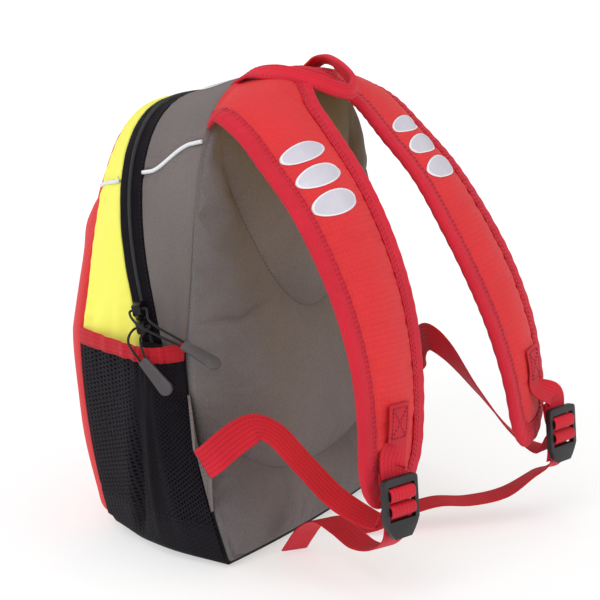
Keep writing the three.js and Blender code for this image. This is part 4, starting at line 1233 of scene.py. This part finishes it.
for side in ("right", "left"):
    def wall_place(u, v, side=side):
        station = side_station(side, mix(0.003, 0.999, u))
        return off_shell(station, mix(0.0, 2.995, v), -0.4)
    bm = face_away(lay(grid(30, 30, (140, 105)), wall_place), BAG_MIDDLE)
    add_piece(f"black_wall_{side}", bm, black_cloth, (f"side_panel_{side}",), 1.2)

    def net_place(u, v, side=side):
        across = mix(0.02, 2.98, v)
        station = sagged(mix(0.006, POCKET_TOP + 0.03, u), across)
        seam = 0.5 * hump(station, STRIP_SEAM, 0.012)
        return off_shell(side_station(side, station), across, pocket_out(station, across) + 0.8 - seam)
    bm = face_away(lay(grid(80, 90, (POCKET_HIGH, 118)), net_place), BAG_MIDDLE)
    area = sum(face.calc_area() for face in bm.faces)
    area / (POCKET_HIGH * MM)
    net = add_piece(f"net_{side}", bm, net_black, (f"pocket_{side}",), 0.5, 0.0)

    def tape_place(u, v, side=side):
        across = mix(0.015, 2.985, u)
        up, thick = section(v, 1.0, 2.3, 0.3, 0.7)
        station = sagged(mix(POCKET_TOP - 0.004, TAPE_TOP, 0.5 + up), across)
        out = pocket_out(np.ones_like(station), across) + 0.8 + thick + tape_wobble(across)
        return off_shell(side_station(side, station), across, out)
    bm = close_ends(lay(grid(140, 28, (118, 24)), tape_place))
    add_piece(f"pocket_tape_{side}", bm, rim_red, (f"pocket_binding_{side}",))
    across = np.linspace(0.05, 2.95, 120)
    for station in (POCKET_TOP + 0.008, POCKET_TOP + 0.03):
        place = sagged(np.full(120, station), across)
        out = pocket_out(np.ones(120), across) + 2.0 + tape_wobble(across)
        stitch("red", off_shell(side_station(side, place), across, out), pitch=2.9, radius=0.25)
    seam = np.full(160, STRIP_SEAM)
    across = np.linspace(0.05, 2.95, 160)
    row = off_shell(side_station(side, seam), across, pocket_out(seam, across) + 1.0)
    stitch("black", row, pitch=2.9, radius=0.24)

# %% [markdown]
# Webbing, tape and straps are bands: a middle line, with a direction for the width at each point. A
# band is rolled from a grid so that it has two faces and rounded edges.

# %% Bands
def band_frames(rows, share):
    at = np.array([row[0] for row in rows], float)
    across = np.array([row[1] for row in rows], float)
    step = 1e-4
    along = unit(curve(at, np.minimum(share + step, 1)) - curve(at, np.maximum(share - step, 0)))
    width = curve(across, share)
    width = unit(width - along * np.sum(width * along, axis=1, keepdims=True))
    return curve(at, share), along, width, np.cross(width, along)


def band(rows, width, thick, steps, sides=20, edge=0.28):
    share = np.linspace(0, 1, 600)
    length = lengths_along(band_frames(rows, share)[0])
    bm = grid(steps, sides, (1, 1))
    layer = bm.loops.layers.uv.active
    for face in bm.faces:
        for loop in face.loops:
            across = float(section(loop.vert.co.y, width, thick, edge)[0])
            loop[layer].uv = (loop.vert.co.x * length[-1] * MM, across * MM)

    def place(u, v):
        at, _, side, face = band_frames(rows, np.interp(u * length[-1], length, share))
        wide, high = section(v, width, thick, edge)
        return at + side * wide[:, None] + face * high[:, None]
    return close_ends(lay(bm, place))


print("band helper ready")

# %% [markdown]
# A shoulder strap is foam between a red face and a yellow mesh lining, bound round its edge with tape.
# It is laid out flat first: a length along the strap, a place across it and a height off its middle
# layer. The flat pattern then follows the strap's line, and its upper end is bent into the top seam.

# %% Strap pattern
STRAP_ROWS = [
    ((57, 40, 294.5), (0.93, 0.13, -0.33), 68),
    ((59, 56, 291), (0.94, 0.02, -0.3), 66),
    ((61.5, 75, 280), (0.95, -0.14, -0.24), 65),
    ((63.5, 94, 261), (0.95, -0.22, -0.17), 64),
    ((65.5, 115, 237), (0.96, -0.22, -0.13), 63),
    ((67, 134, 206), (0.97, -0.2, -0.08), 63),
    ((69.5, 149.5, 172), (0.98, -0.17, -0.03), 62),
    ((72.5, 159.5, 136), (0.99, -0.13, 0), 60),
    ((75.5, 163.5, 97), (0.99, -0.12, 0), 57),
    ((78, 162, 55), (0.99, -0.12, 0), 53),
]
STRAP_LENGTH = 297.0
STRAP_FOOT = 294.0
SEAM_BLEND = 48.0
STRAP_EDGE = 2.0
FLANGE = 10.0
FLARE = 17.0
FACE_CROWN = 3.4
SIDES = {"right": (1, 0.0), "left": (-1, 24.0)}
LEFT_TURN = {"degrees": 10.0, "sink": 2.5}


class Strap:
    def __init__(self, sign, lag):
        last = len(STRAP_ROWS) - 1
        self.sign = sign
        self.rows = [
            ((sign * x, y + lag * (i / last) ** 2, z), (sign * a, b, c))
            for i, ((x, y, z), (a, b, c), _) in enumerate(STRAP_ROWS)
        ]
        self.widths = [row[2] for row in STRAP_ROWS]
        if sign < 0:
            self.rows = self.turned(np.arange(last + 1))

    def turned(self, number):
        """The rows of a strap that has rolled a little about its own length."""
        at, across = (np.array(part, float) for part in zip(*self.rows))
        share = (smooth(number, 0, 3) * (1 - smooth(number, 5, 9)))[:, None]
        face = unit(self.sign * np.cross(across, np.gradient(at, axis=0)))
        angle = math.radians(LEFT_TURN["degrees"]) * share
        at = at - LEFT_TURN["sink"] * share * face
        across = np.cos(angle) * unit(across) + np.sin(angle) * face
        return [(tuple(p), tuple(w)) for p, w in zip(at, across)]

    def flare(self, length):
        """How much wider the upper end is, all of it on the side of the bag's middle."""
        return FLARE * (1 - smooth(length, 14, 74))

    def half(self, length):
        share = np.minimum(length / STRAP_LENGTH, 1)
        straight = np.interp(share, np.linspace(0, 1, len(self.widths)), self.widths) / 2
        end = np.maximum((length - STRAP_FOOT + 24) / 24, 0)
        return straight * np.sqrt(np.maximum(1 - 0.86 * end ** 2, 0.02)) + self.flare(length) / 2

    def face(self, length):
        return self.sign * band_frames(self.rows, length / STRAP_LENGTH)[3]

    def point(self, length, x, out):
        x = x - self.flare(length) / 2
        at, _, width, face = band_frames(self.rows, length / STRAP_LENGTH)
        start, _, first, _ = band_frames(self.rows, np.zeros(1))
        free = at + width * x[:, None]
        station = mix(1.9, 1.605, 0.5 + x / self.widths[0])
        sewn = shell_point(station if self.sign > 0 else 4 - station, np.zeros_like(x))
        sewn = sewn + 0.8 * np.array([0, 0.94, 0.34])
        pull = np.maximum(1 - length / SEAM_BLEND, 0) ** 2
        free = free + (sewn - start - first * x[:, None]) * pull[:, None]
        return free + self.sign * face * np.broadcast_to(out, x.shape)[:, None]

    def edge(self, length):
        return mix(0.6, STRAP_EDGE, smooth(length, 0, SEAM_BLEND))

    def top(self, length, x, crown=4.2):
        share = np.minimum(np.abs(x) / np.maximum(self.half(length) - FLANGE, 1), 1)
        foam = crown * smooth(length, 0, 40) * smooth(STRAP_FOOT - FLANGE - length, 0, 40)
        return self.edge(length) + foam * np.sqrt(1 - share ** 2)

    def outline(self, count):
        """The flat outline, down the outer edge, round the end and up the inner edge."""
        length = np.concatenate([np.linspace(0, 262, 90), np.linspace(263, STRAP_FOOT, 60)])
        half = self.half(length)
        across = np.linspace(half[-1], -half[-1], 12)[1:-1]
        flat = np.concatenate([
            np.column_stack([length, half]),
            np.column_stack([np.full(10, STRAP_FOOT), across]),
            np.column_stack([length, -half])[::-1],
        ])
        far = lengths_along(flat)
        spots = np.linspace(0, far[-1], count)
        even = pick(spots, far, flat)
        for _ in range(6):
            even[1:-1] = 0.25 * even[:-2] + 0.5 * even[1:-1] + 0.25 * even[2:]
        return even, spots


straps = {side: Strap(*facts) for side, facts in SIDES.items()}
print("strap pattern", STRAP_LENGTH, "mm long")

# %% [markdown]
# The red face swells over the foam and is held flat under the tape. Its upper end is thinner, where it
# is caught in the seam of the bag.

# %% Strap faces
strap_surfaces = {}
for side, strap in straps.items():
    facts = {}

    def pad_place(u, v, strap=strap, facts=facts):
        length = u * STRAP_FOOT
        half = strap.half(length)
        x = (2 * v - 1) * half
        from_tape = half - FLANGE - np.abs(x)
        facts["sewn"] = (from_tape < -0.8) | (length < 6) | (length > STRAP_FOOT - FLANGE)
        facts["share"] = mix(0.25, 1.0, smooth(length, 0, SEAM_BLEND))
        wave = 0.22 * ripples(length, 21.0, 0.6) * smooth(from_tape, 0, 8)
        return strap.point(length, x, strap.top(length, x, FACE_CROWN) + wave)
    bm = face_away(lay(grid(170, 44, (STRAP_FOOT, 62)), pad_place), BEHIND)
    pad = add_piece(f"strap_face_{side}", bm, red_strap, (f"strap_{side}",))
    settle(pad, facts["sewn"], 0.012, 2.0)
    strap_surfaces[side] = surface_of(pad)
    thicken(pad, 2 * STRAP_EDGE - 0.6, facts["share"])
print("two padded strap faces")

# %% [markdown]
# The lining bulges towards the child's shoulder. It starts a little below the seam and ends inside the
# fold of the tape.

# %% Strap linings
TAPE_GRIP = {"face": 9.0, "lining": 3.5}
LINING = {"start": 26.0, "bulge": 2.9}
UNDER_STRAPS = (0, 500, 250)
for side, strap in straps.items():
    def lining_place(u, v, strap=strap):
        length = mix(LINING["start"], STRAP_FOOT - 10, u)
        x = (2 * v - 1) * (strap.half(length + 3) - TAPE_GRIP["lining"] + 0.6)
        ends = smooth(length, LINING["start"], 50) * smooth(STRAP_FOOT - 8 - length, 0, 14)
        bulge = LINING["bulge"] * (1 - (2 * v - 1) ** 10) * ends
        return strap.point(length, x, -strap.edge(length) - 0.9 - bulge)
    bm = face_away(lay(grid(110, 32, (STRAP_FOOT - 36, 52)), lining_place), UNDER_STRAPS)
    add_piece(f"strap_mesh_{side}", bm, lining_mesh, (f"strap_lining_{side}",), 0.8)
print("two linings")

# %% [markdown]
# Binding tape is folded round the strap's whole edge: a wide leg on the face, a half turn and a narrow
# leg on the lining. Two rows of stitches hold it on the face and one on the lining.

# %% Strap tapes
ROUND_EDGE = STRAP_EDGE + 0.5
TAPE_STITCHES = ((-8.0, 1, 0.36), (-5.9, 1, 0.26), (-2.4, -1, 0.26))


def fold(v):
    """The tape's section: a flat leg, a half turn round the edge and a flat leg."""
    leg = TAPE_GRIP["face"]
    folded = leg + math.pi * ROUND_EDGE
    s = v * (folded + TAPE_GRIP["lining"])
    turn = np.clip((s - leg) / ROUND_EDGE, 0, math.pi)
    flat = np.where(s > folded, folded - s, ROUND_EDGE * np.sin(turn))
    return np.where(s < leg, s - leg, flat) - 0.4, ROUND_EDGE * np.cos(turn)


for side, strap in straps.items():
    even, spots = strap.outline(420)
    tangent = unit(np.gradient(even, axis=0))
    outward = np.column_stack([-tangent[:, 1], tangent[:, 0]])

    def tape_at(spot, reach, height, lift=0.0, strap=strap, even=even, spots=spots, outward=outward):
        flat = pick(spot, spots, even) + pick(spot, spots, outward) * reach[:, None]
        length = np.clip(flat[:, 0], 0, STRAP_LENGTH)
        swell = strap.edge(length) + 0.5 + lift + 0.22 * ripples(spot, 8.5, 0.3)
        over = np.maximum(flat[:, 0] - STRAP_LENGTH, 0)[:, None] * np.array([0, 0, -1.0])
        return strap.point(length, flat[:, 1], height / ROUND_EDGE * swell) + over

    bm = grid(380, 26, (spots[-1], 26))
    lay(bm, lambda u, v, tape_at=tape_at, end=spots[-1]: tape_at(u * end, *fold(v)))
    layer = bm.loops.layers.uv.active
    outer_leg = [face for face in bm.faces if face.loops[0][layer].uv.y < 6 * MM]
    outside = Vector(strap.face(np.array([0.5 * STRAP_LENGTH]))[0])
    if sum(face.normal.dot(outside) for face in outer_leg) < 0:
        bmesh.ops.reverse_faces(bm, faces=bm.faces)
    add_piece(f"strap_tape_{side}", bm, tape_red, (f"strap_binding_{side}",), 0.8, 1.0)
    spot = np.linspace(8, spots[-1] - 8, 900)
    for reach, face, radius in TAPE_STITCHES:
        row = tape_at(spot, np.full(900, reach), np.full(900, face * ROUND_EDGE), 0.85)
        stitch("red", row, pitch=3.0, dash=2.3, radius=radius)
print("tape folded round both straps")

# %% [markdown]
# Three ovals lie across each strap. Their points are dropped on the settled face, so that the film
# follows the swell of the foam.

# %% Strap ovals
STRAP_OVALS = {"right": (101.0, 4.4), "left": (96.5, -3.0)}
OVAL_STEP = 18.0
OVAL_HALF = {"along": 7.1, "across": 17.2}
DROP_FROM = 16.0
for side, strap in straps.items():
    bm = bmesh.new()
    first, aside = STRAP_OVALS[side]
    for length in first + OVAL_STEP * np.arange(3):
        def on_strap(a, b, length=length, strap=strap, surface=strap_surfaces[side], aside=aside):
            along = length + OVAL_HALF["along"] * b
            above = strap.point(along, aside + OVAL_HALF["across"] * a, DROP_FROM)
            down = -strap.face(along)
            found = []
            for start, way in zip(above, down):
                hit = surface.ray_cast(Vector(start * MM), Vector(way))[0]
                found.append([c / MM for c in hit] if hit else start + 10 * way)
            return np.array(found) - 0.15 * down
        add_oval(bm, 8, on_strap)
    finish_ovals(f"strap_ovals_{side}", bm, BEHIND)
print("three ovals on each strap")

# %% [markdown]
# The buckles are moulded in one piece. The solids have the right shape, so a copy keeps it: its points
# are merged, its flat faces joined and its sharp edges rounded with a small bevel.

# %% Buckles
def rounded_copy(node, name, material, radius, segments=3, sharp=35):
    bm = bmesh.new()
    bm.from_mesh(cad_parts[node].data)
    bmesh.ops.remove_doubles(bm, verts=bm.verts, dist=0.01 * MM)
    bm.transform(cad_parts[node].matrix_world)
    bmesh.ops.dissolve_limit(bm, angle_limit=math.radians(2), verts=bm.verts, edges=bm.edges)
    whole = [edge for edge in bm.edges if edge.is_manifold]
    corners = [edge for edge in whole if edge.calc_face_angle() > math.radians(sharp)]
    bmesh.ops.bevel(
        bm, geom=corners, offset=radius * MM, offset_type="OFFSET", segments=segments,
        profile=0.5, affect="EDGES", material=-1, clamp_overlap=True,
    )
    bmesh.ops.recalc_face_normals(bm, faces=bm.faces)
    return add_piece(name, bm, material, (node,))


for side in SIDES:
    rounded_copy(f"buckle_{side}", f"ladder_lock_{side}", buckle_plastic, 0.7)
print("buckles rounded")

# %% [markdown]
# A short tab of webbing is sewn to each strap with a crossed box of stitches and loops through the top
# of the buckle. The long webbing starts at the cloth anchor on the back seam, climbs through the buckle
# and hangs down to the floor as a free tail. Each row below is a point and the direction of the width
# there. The two lists of pairs are heights and depths in the buckle's own directions.

# %% Webbing paths
WEB = (20.0, 1.3)
BUCKLES = {
    "right": ((90, 178, 62), (0.3, 0.95, 0)),
    "left": ((-91, 203, 61), (0.25, 0.97, 0)),
}
BUCKLE_LEAN = 0.1
TAB_LOOP = [
    (25, -4.8), (19, -4.4), (15.2, -3.9), (12.7, -2.8), (12, -0.8), (12, 1.2), (10.6, 3), (8.2, 3.4),
    (5.9, 3), (4.6, 1.2), (4.7, -1.2), (6.2, -3.8), (10, -5.4), (15, -6.2), (21, -6.9),
]
THREADING = [
    (-13, -15), (-7, -9.5), (-1, -5.6), (2, -2.2), (2.1, 1), (0.9, 3), (-1.3, 3.5), (-3.4, 3),
    (-4.8, 1), (-5, -1.6), (-8, -4), (-14, -4.8), (-20, -7),
]
WEB_START = {
    "right": [
        ((134, 67.3, 80.9), (-0.11, -0.67, 0.73)), ((131, 72, 85), (0, -0.66, 0.75)),
        ((121, 75.5, 90.5), (0.1, -0.6, 0.79)), ((109, 79.5, 95.5), (-0.02, -0.69, 0.71)),
        ((100.5, 84, 98), (-0.58, -0.54, 0.6)), ((96, 93, 95), (-0.95, -0.05, 0.29)),
        ((92.5, 113, 77), (-0.98, 0.03, 0.19)), ((90, 138, 57), (-0.97, 0.08, 0.21)),
    ],
    "left": [
        ((-134, 67.3, 80.9), (-0.11, 0.67, -0.73)), ((-131, 73, 87), (0, 0.66, -0.75)),
        ((-122, 79, 97), (0.1, 0.55, -0.83)), ((-112, 87, 106), (0.05, 0.4, -0.9)),
        ((-104, 97, 110), (-0.05, 0.15, -1)), ((-99, 112, 104), (-0.3, 0, -0.95)),
        ((-96, 138, 80), (-0.75, -0.2, -0.6)), ((-93, 170, 53), (-0.93, -0.2, -0.3)),
    ],
}
WEB_TAIL = {
    "right": [
        ((85, 163, 32), (0.9, -0.4, 0)), ((77, 146, 27), (0.88, -0.47, 0)),
        ((68, 127, 30), (0.88, -0.47, 0)), ((60.5, 110, 31), (0.88, -0.47, 0)),
        ((55.5, 95.5, 22), (0.88, -0.47, 0)), ((52.5, 85.5, 9), (0.88, -0.47, 0)),
        ((51, 80.5, 1.6), (0.88, -0.47, 0)),
    ],
    "left": [
        ((-83, 188, 33), (0.9, 0.3, 0)), ((-68, 173, 21), (0.8, 0.6, 0)),
        ((-51, 155, 17), (0.74, 0.67, 0)), ((-35, 138, 18), (0.74, 0.67, 0)),
        ((-20, 121, 12), (0.74, 0.67, 0)), ((-8, 107, 4), (0.74, 0.67, 0)),
        ((0, 97, 1.8), (0.74, 0.67, 0)),
    ],
}
print("paths for", len(WEB_START), "long webbings,", WEB[0], "mm wide")

# %% [markdown]
# Both are bands along those paths. The long webbing turns over where it enters the buckle, so its width
# points the other way from there on.

# %% Webbing
TAB_SEWN = (245.0, 256.0, 266.0)
TAB_LIFT = 1.3
TAB_ASIDE = 3.0
TAB_BOX = [(247, -7), (262, -7), (262, 7), (247, 7), (247, -7)]


def in_buckle(side, rows):
    at, looks = (np.array(item, float) for item in BUCKLES[side])
    up = unit(np.array([0, 0, 1.0]) - BUCKLE_LEAN * looks)
    face = unit(looks - up * float(looks @ up))
    across = -np.cross(up, face)
    return [(tuple(at + up * high + face * out), tuple(across)) for high, out in rows]


for side, strap in straps.items():
    sewn = np.array(TAB_SEWN)
    aside = np.full(3, TAB_ASIDE)
    at = strap.point(sewn, aside, strap.top(sewn, aside) + WEB[1] / 2 + 0.4 + TAB_LIFT)
    across = strap.sign * band_frames(strap.rows, sewn / STRAP_LENGTH)[2]
    tab_rows = [(tuple(p), tuple(w)) for p, w in zip(at, across)] + in_buckle(side, TAB_LOOP)
    tab = band(tab_rows, *WEB, 150)
    add_piece(f"buckle_loop_{side}", tab, web_red, (f"buckle_tab_{side}",))

    def on_tab(length, x, strap=strap):
        lift = strap.top(length, np.full_like(x, TAB_ASIDE)) + WEB[1] + 0.55 + TAB_LIFT
        return strap.point(length, TAB_ASIDE + x, lift)
    for path in (TAB_BOX, TAB_BOX[0:3:2], TAB_BOX[3:0:-2]):
        corners = np.array(path, float)
        far = lengths_along(corners)
        row = on_tab(*pick(np.linspace(0, far[-1], 60), far, corners).T)
        stitch("red", row, pitch=2.4, dash=1.9, radius=0.3)

    after_turn = in_buckle(side, THREADING) + WEB_TAIL[side]
    web_rows = WEB_START[side] + [(at, tuple(-np.array(way))) for at, way in after_turn]
    web = band(web_rows, *WEB, 420)
    add_piece(f"long_web_{side}", web, web_red, (f"lower_web_{side}",))
print("webbing threaded through both buckles")

# %% [markdown]
# The anchor is a folded patch of grey cloth, sewn into the back seam. It narrows to the width of the
# webbing, which is stitched to its free edge.

# %% Anchors
ANCHOR_ROOT = (38.0, 114.0)
ANCHOR_EDGE = np.array([[133.9, 73.1, 73.6], [131.6, 59.6, 88.2]])
ANCHOR_FACE = np.array([0.58, -0.81, 0])


def anchor_point(u, v, sign):
    seam = SEAMS[0]
    station = (mix(*ANCHOR_ROOT, u) - seam["foot"]) / (seam["rim"] - seam["foot"])
    root = seam_point(seam, station) + 0.6 * np.array([0.7, 0.71, 0])
    spot = mix(root, mix(*ANCHOR_EDGE, u[:, None]), v[:, None])
    belly = 0.8 * np.sin(math.pi * v) * np.cos(3.2 * (u - 0.4))
    return (spot + ANCHOR_FACE * belly[:, None]) * np.array([sign, 1, 1])


for side, (sign, _) in SIDES.items():
    bm = lay(grid(24, 20, (45, 30)), lambda u, v, sign=sign: anchor_point(u, v, sign))
    add_piece(f"anchor_{side}", bm, grey_cloth, (f"web_anchor_{side}",), 1.8, 0.0)
    lift = 1.05 * ANCHOR_FACE * np.array([sign, 1, 1])
    ends = np.linspace(0.08, 0.92, 40)
    for path in (
        anchor_point(ends, np.full(40, 0.9), sign),
        anchor_point(ends, np.full(40, 0.78), sign),
        anchor_point(np.full(40, 0.07), ends, sign),
        anchor_point(np.full(40, 0.93), ends, sign),
    ):
        stitch("grey", path + lift, pitch=2.6, dash=1.9, radius=0.25)
print("anchors sewn into the back seam")

# %% [markdown]
# The grab handle is a strip of webbing. Its ends lie flat on the straps, caught in the top seam, and
# the grip between them is folded double along its length, so it is narrower and thicker there. The
# fold's open edges are sewn together.

# %% Handle
HANDLE = (15.0, 2.4)
GRIP = (10.0, 4.2)
HANDLE_ROWS = [
    ((42, 32.8, 298), (1, 0.1, -0.15)),
    ((41.6, 37.6, 301.6), (0.97, 0.1, -0.2)),
    ((40.5, 43, 304.4), (0.95, 0.1, -0.25)),
    ((34, 55, 305), (0.8, 0.15, -0.55)),
    ((25, 65.5, 302.8), (0.5, 0.12, -0.85)),
    ((16.5, 76, 298.8), (0.25, 0.1, -0.95)),
    ((8, 85.5, 294), (0.08, 0.1, -1)),
    ((-2, 89.5, 292), (0, 0.1, -1)),
    ((-12, 86, 295.5), (-0.08, 0.1, -1)),
    ((-18.5, 76.5, 301.5), (-0.25, 0.1, -0.95)),
    ((-25.5, 65.5, 305.5), (-0.5, 0.12, -0.85)),
    ((-34, 55, 306.5), (-0.8, 0.15, -0.55)),
    ((-40.5, 43, 305), (-0.95, 0.1, -0.25)),
    ((-41.6, 37.6, 301.8), (-0.97, 0.1, -0.2)),
    ((-42, 32.8, 298), (-1, 0.1, -0.15)),
]


def handle_size(u):
    """Width and thickness along the handle."""
    share = smooth(np.minimum(u, 1 - u), 0.16, 0.3)
    return [mix(flat, folded, share) for flat, folded in zip(HANDLE, GRIP)]


def handle_place(u, v):
    at, _, side, face = band_frames(HANDLE_ROWS, u)
    wide, high = section(v, *handle_size(u), 0.4)
    return at + side * wide[:, None] + face * high[:, None]


bm = close_ends(lay(grid(220, 24, (190, 30)), handle_place))
add_piece("grab_handle", bm, handle_red, ("handle",))
share = np.linspace(0.01, 0.99, 400)
at, _, side_way, face_way = band_frames(HANDLE_ROWS, share)
width, thick = handle_size(share)
aside = side_way * (0.5 * width - 1.9)[:, None]
raised = face_way * (0.465 * thick)[:, None]
for across_sign in (1, -1):
    for face_sign in (1, -1):
        row = at + across_sign * aside + face_sign * raised
        stitch("red", row, pitch=2.8, dash=2.0, radius=0.24)
print("handle looped over the top")

# %% [markdown]
# Each zip slider is a small lacquered casting with an eye. A cord passes through the eye and ends in a
# moulded grey paddle, so that small hands can pull it.

# %% Sliders and pulls
SLIDERS = {
    "lower": (1.05, (127, 19, 137), (126, 38, 119), (0.96, 0.1, 0.25)),
    "upper": (1.1, (117, 42, 148), (112, 66, 136), (0.5, 0.35, 0.8)),
}
CORD_RADIUS = 0.8
CORD_UP = (0.13, 0.29, 0.95)
CORD_SPREAD = {"eye": 6.2, "tab": 1.8}
EYE_LIFT = 4.4
CORD_RISE = 8.2
coil_middle = np.array([1.5])
for name, (station, tab_from, tab_to, tab_face) in SLIDERS.items():
    rounded_copy(f"zip_slider_{name}", f"slider_{name}", slider_metal, 0.5)
    rounded_copy(f"pull_tab_{name}", f"pull_{name}", tab_plastic, 0.7)
    root, tip, face = (np.array(row, float) for row in (tab_from, tab_to, tab_face))
    down = unit(tip - root)
    wide = np.cross(down, unit(face - down * float(face @ down)))
    spot = np.array([station])
    out = shell_normal(spot, coil_middle)[0]
    ahead = shell_point(spot + 0.02, coil_middle)[0] - shell_point(spot - 0.02, coil_middle)[0]
    across = unit(np.cross(ahead, out))
    eye = off_shell(spot, coil_middle, 1.3)[0] + EYE_LIFT * out
    turn = 1 if float(wide @ across) > 0 else -1
    near_eye = [eye + sign * CORD_SPREAD["eye"] * across for sign in (1, -1)]
    ends = [root + sign * turn * CORD_SPREAD["tab"] * wide + 0.6 * down for sign in (1, -1)]
    raised = [mix(near, end, 0.3) + CORD_RISE * out for near, end in zip(near_eye, ends)]
    knots = np.array([ends[0], raised[0], near_eye[0], eye, near_eye[1], raised[1], ends[1]])
    cord = tube(curve(knots, np.linspace(0, 1, 160)), CORD_RADIUS, 120, 8, CORD_UP)
    add_piece(f"cord_{name}", cord, cord_black, (f"pull_cord_{name}",))
print("two sliders with cord pulls")

# %% [markdown]
# Now the stitches themselves. Each is a small rounded dash turned along its row.

# %% Stitches
THREADS = {
    "red": (thread_red, "red_webbing"),
    "grey": (thread_grey, "grey_cloth"),
    "black": (thread_black, "black_cloth"),
}
for thread, rows in stitch_rows.items():
    bm = bmesh.new()
    bm.loops.layers.uv.new("UVMap")
    count = 0
    for at, ahead, dash, radius in rows:
        for spot, way in zip(at, ahead):
            turn = Vector(way).to_track_quat("X", "Z").to_matrix().to_4x4()
            size = Matrix.Diagonal((0.5 * dash * MM, radius * MM, radius * MM, 1.0))
            matrix = Matrix.Translation(Vector(spot * MM)) @ turn @ size
            bmesh.ops.create_icosphere(bm, subdivisions=1, radius=1.0, matrix=matrix)
            count += 1
    material, slot = THREADS[thread]
    add_piece(f"stitches_{thread}", bm, material)
    print(count, thread, "stitches")
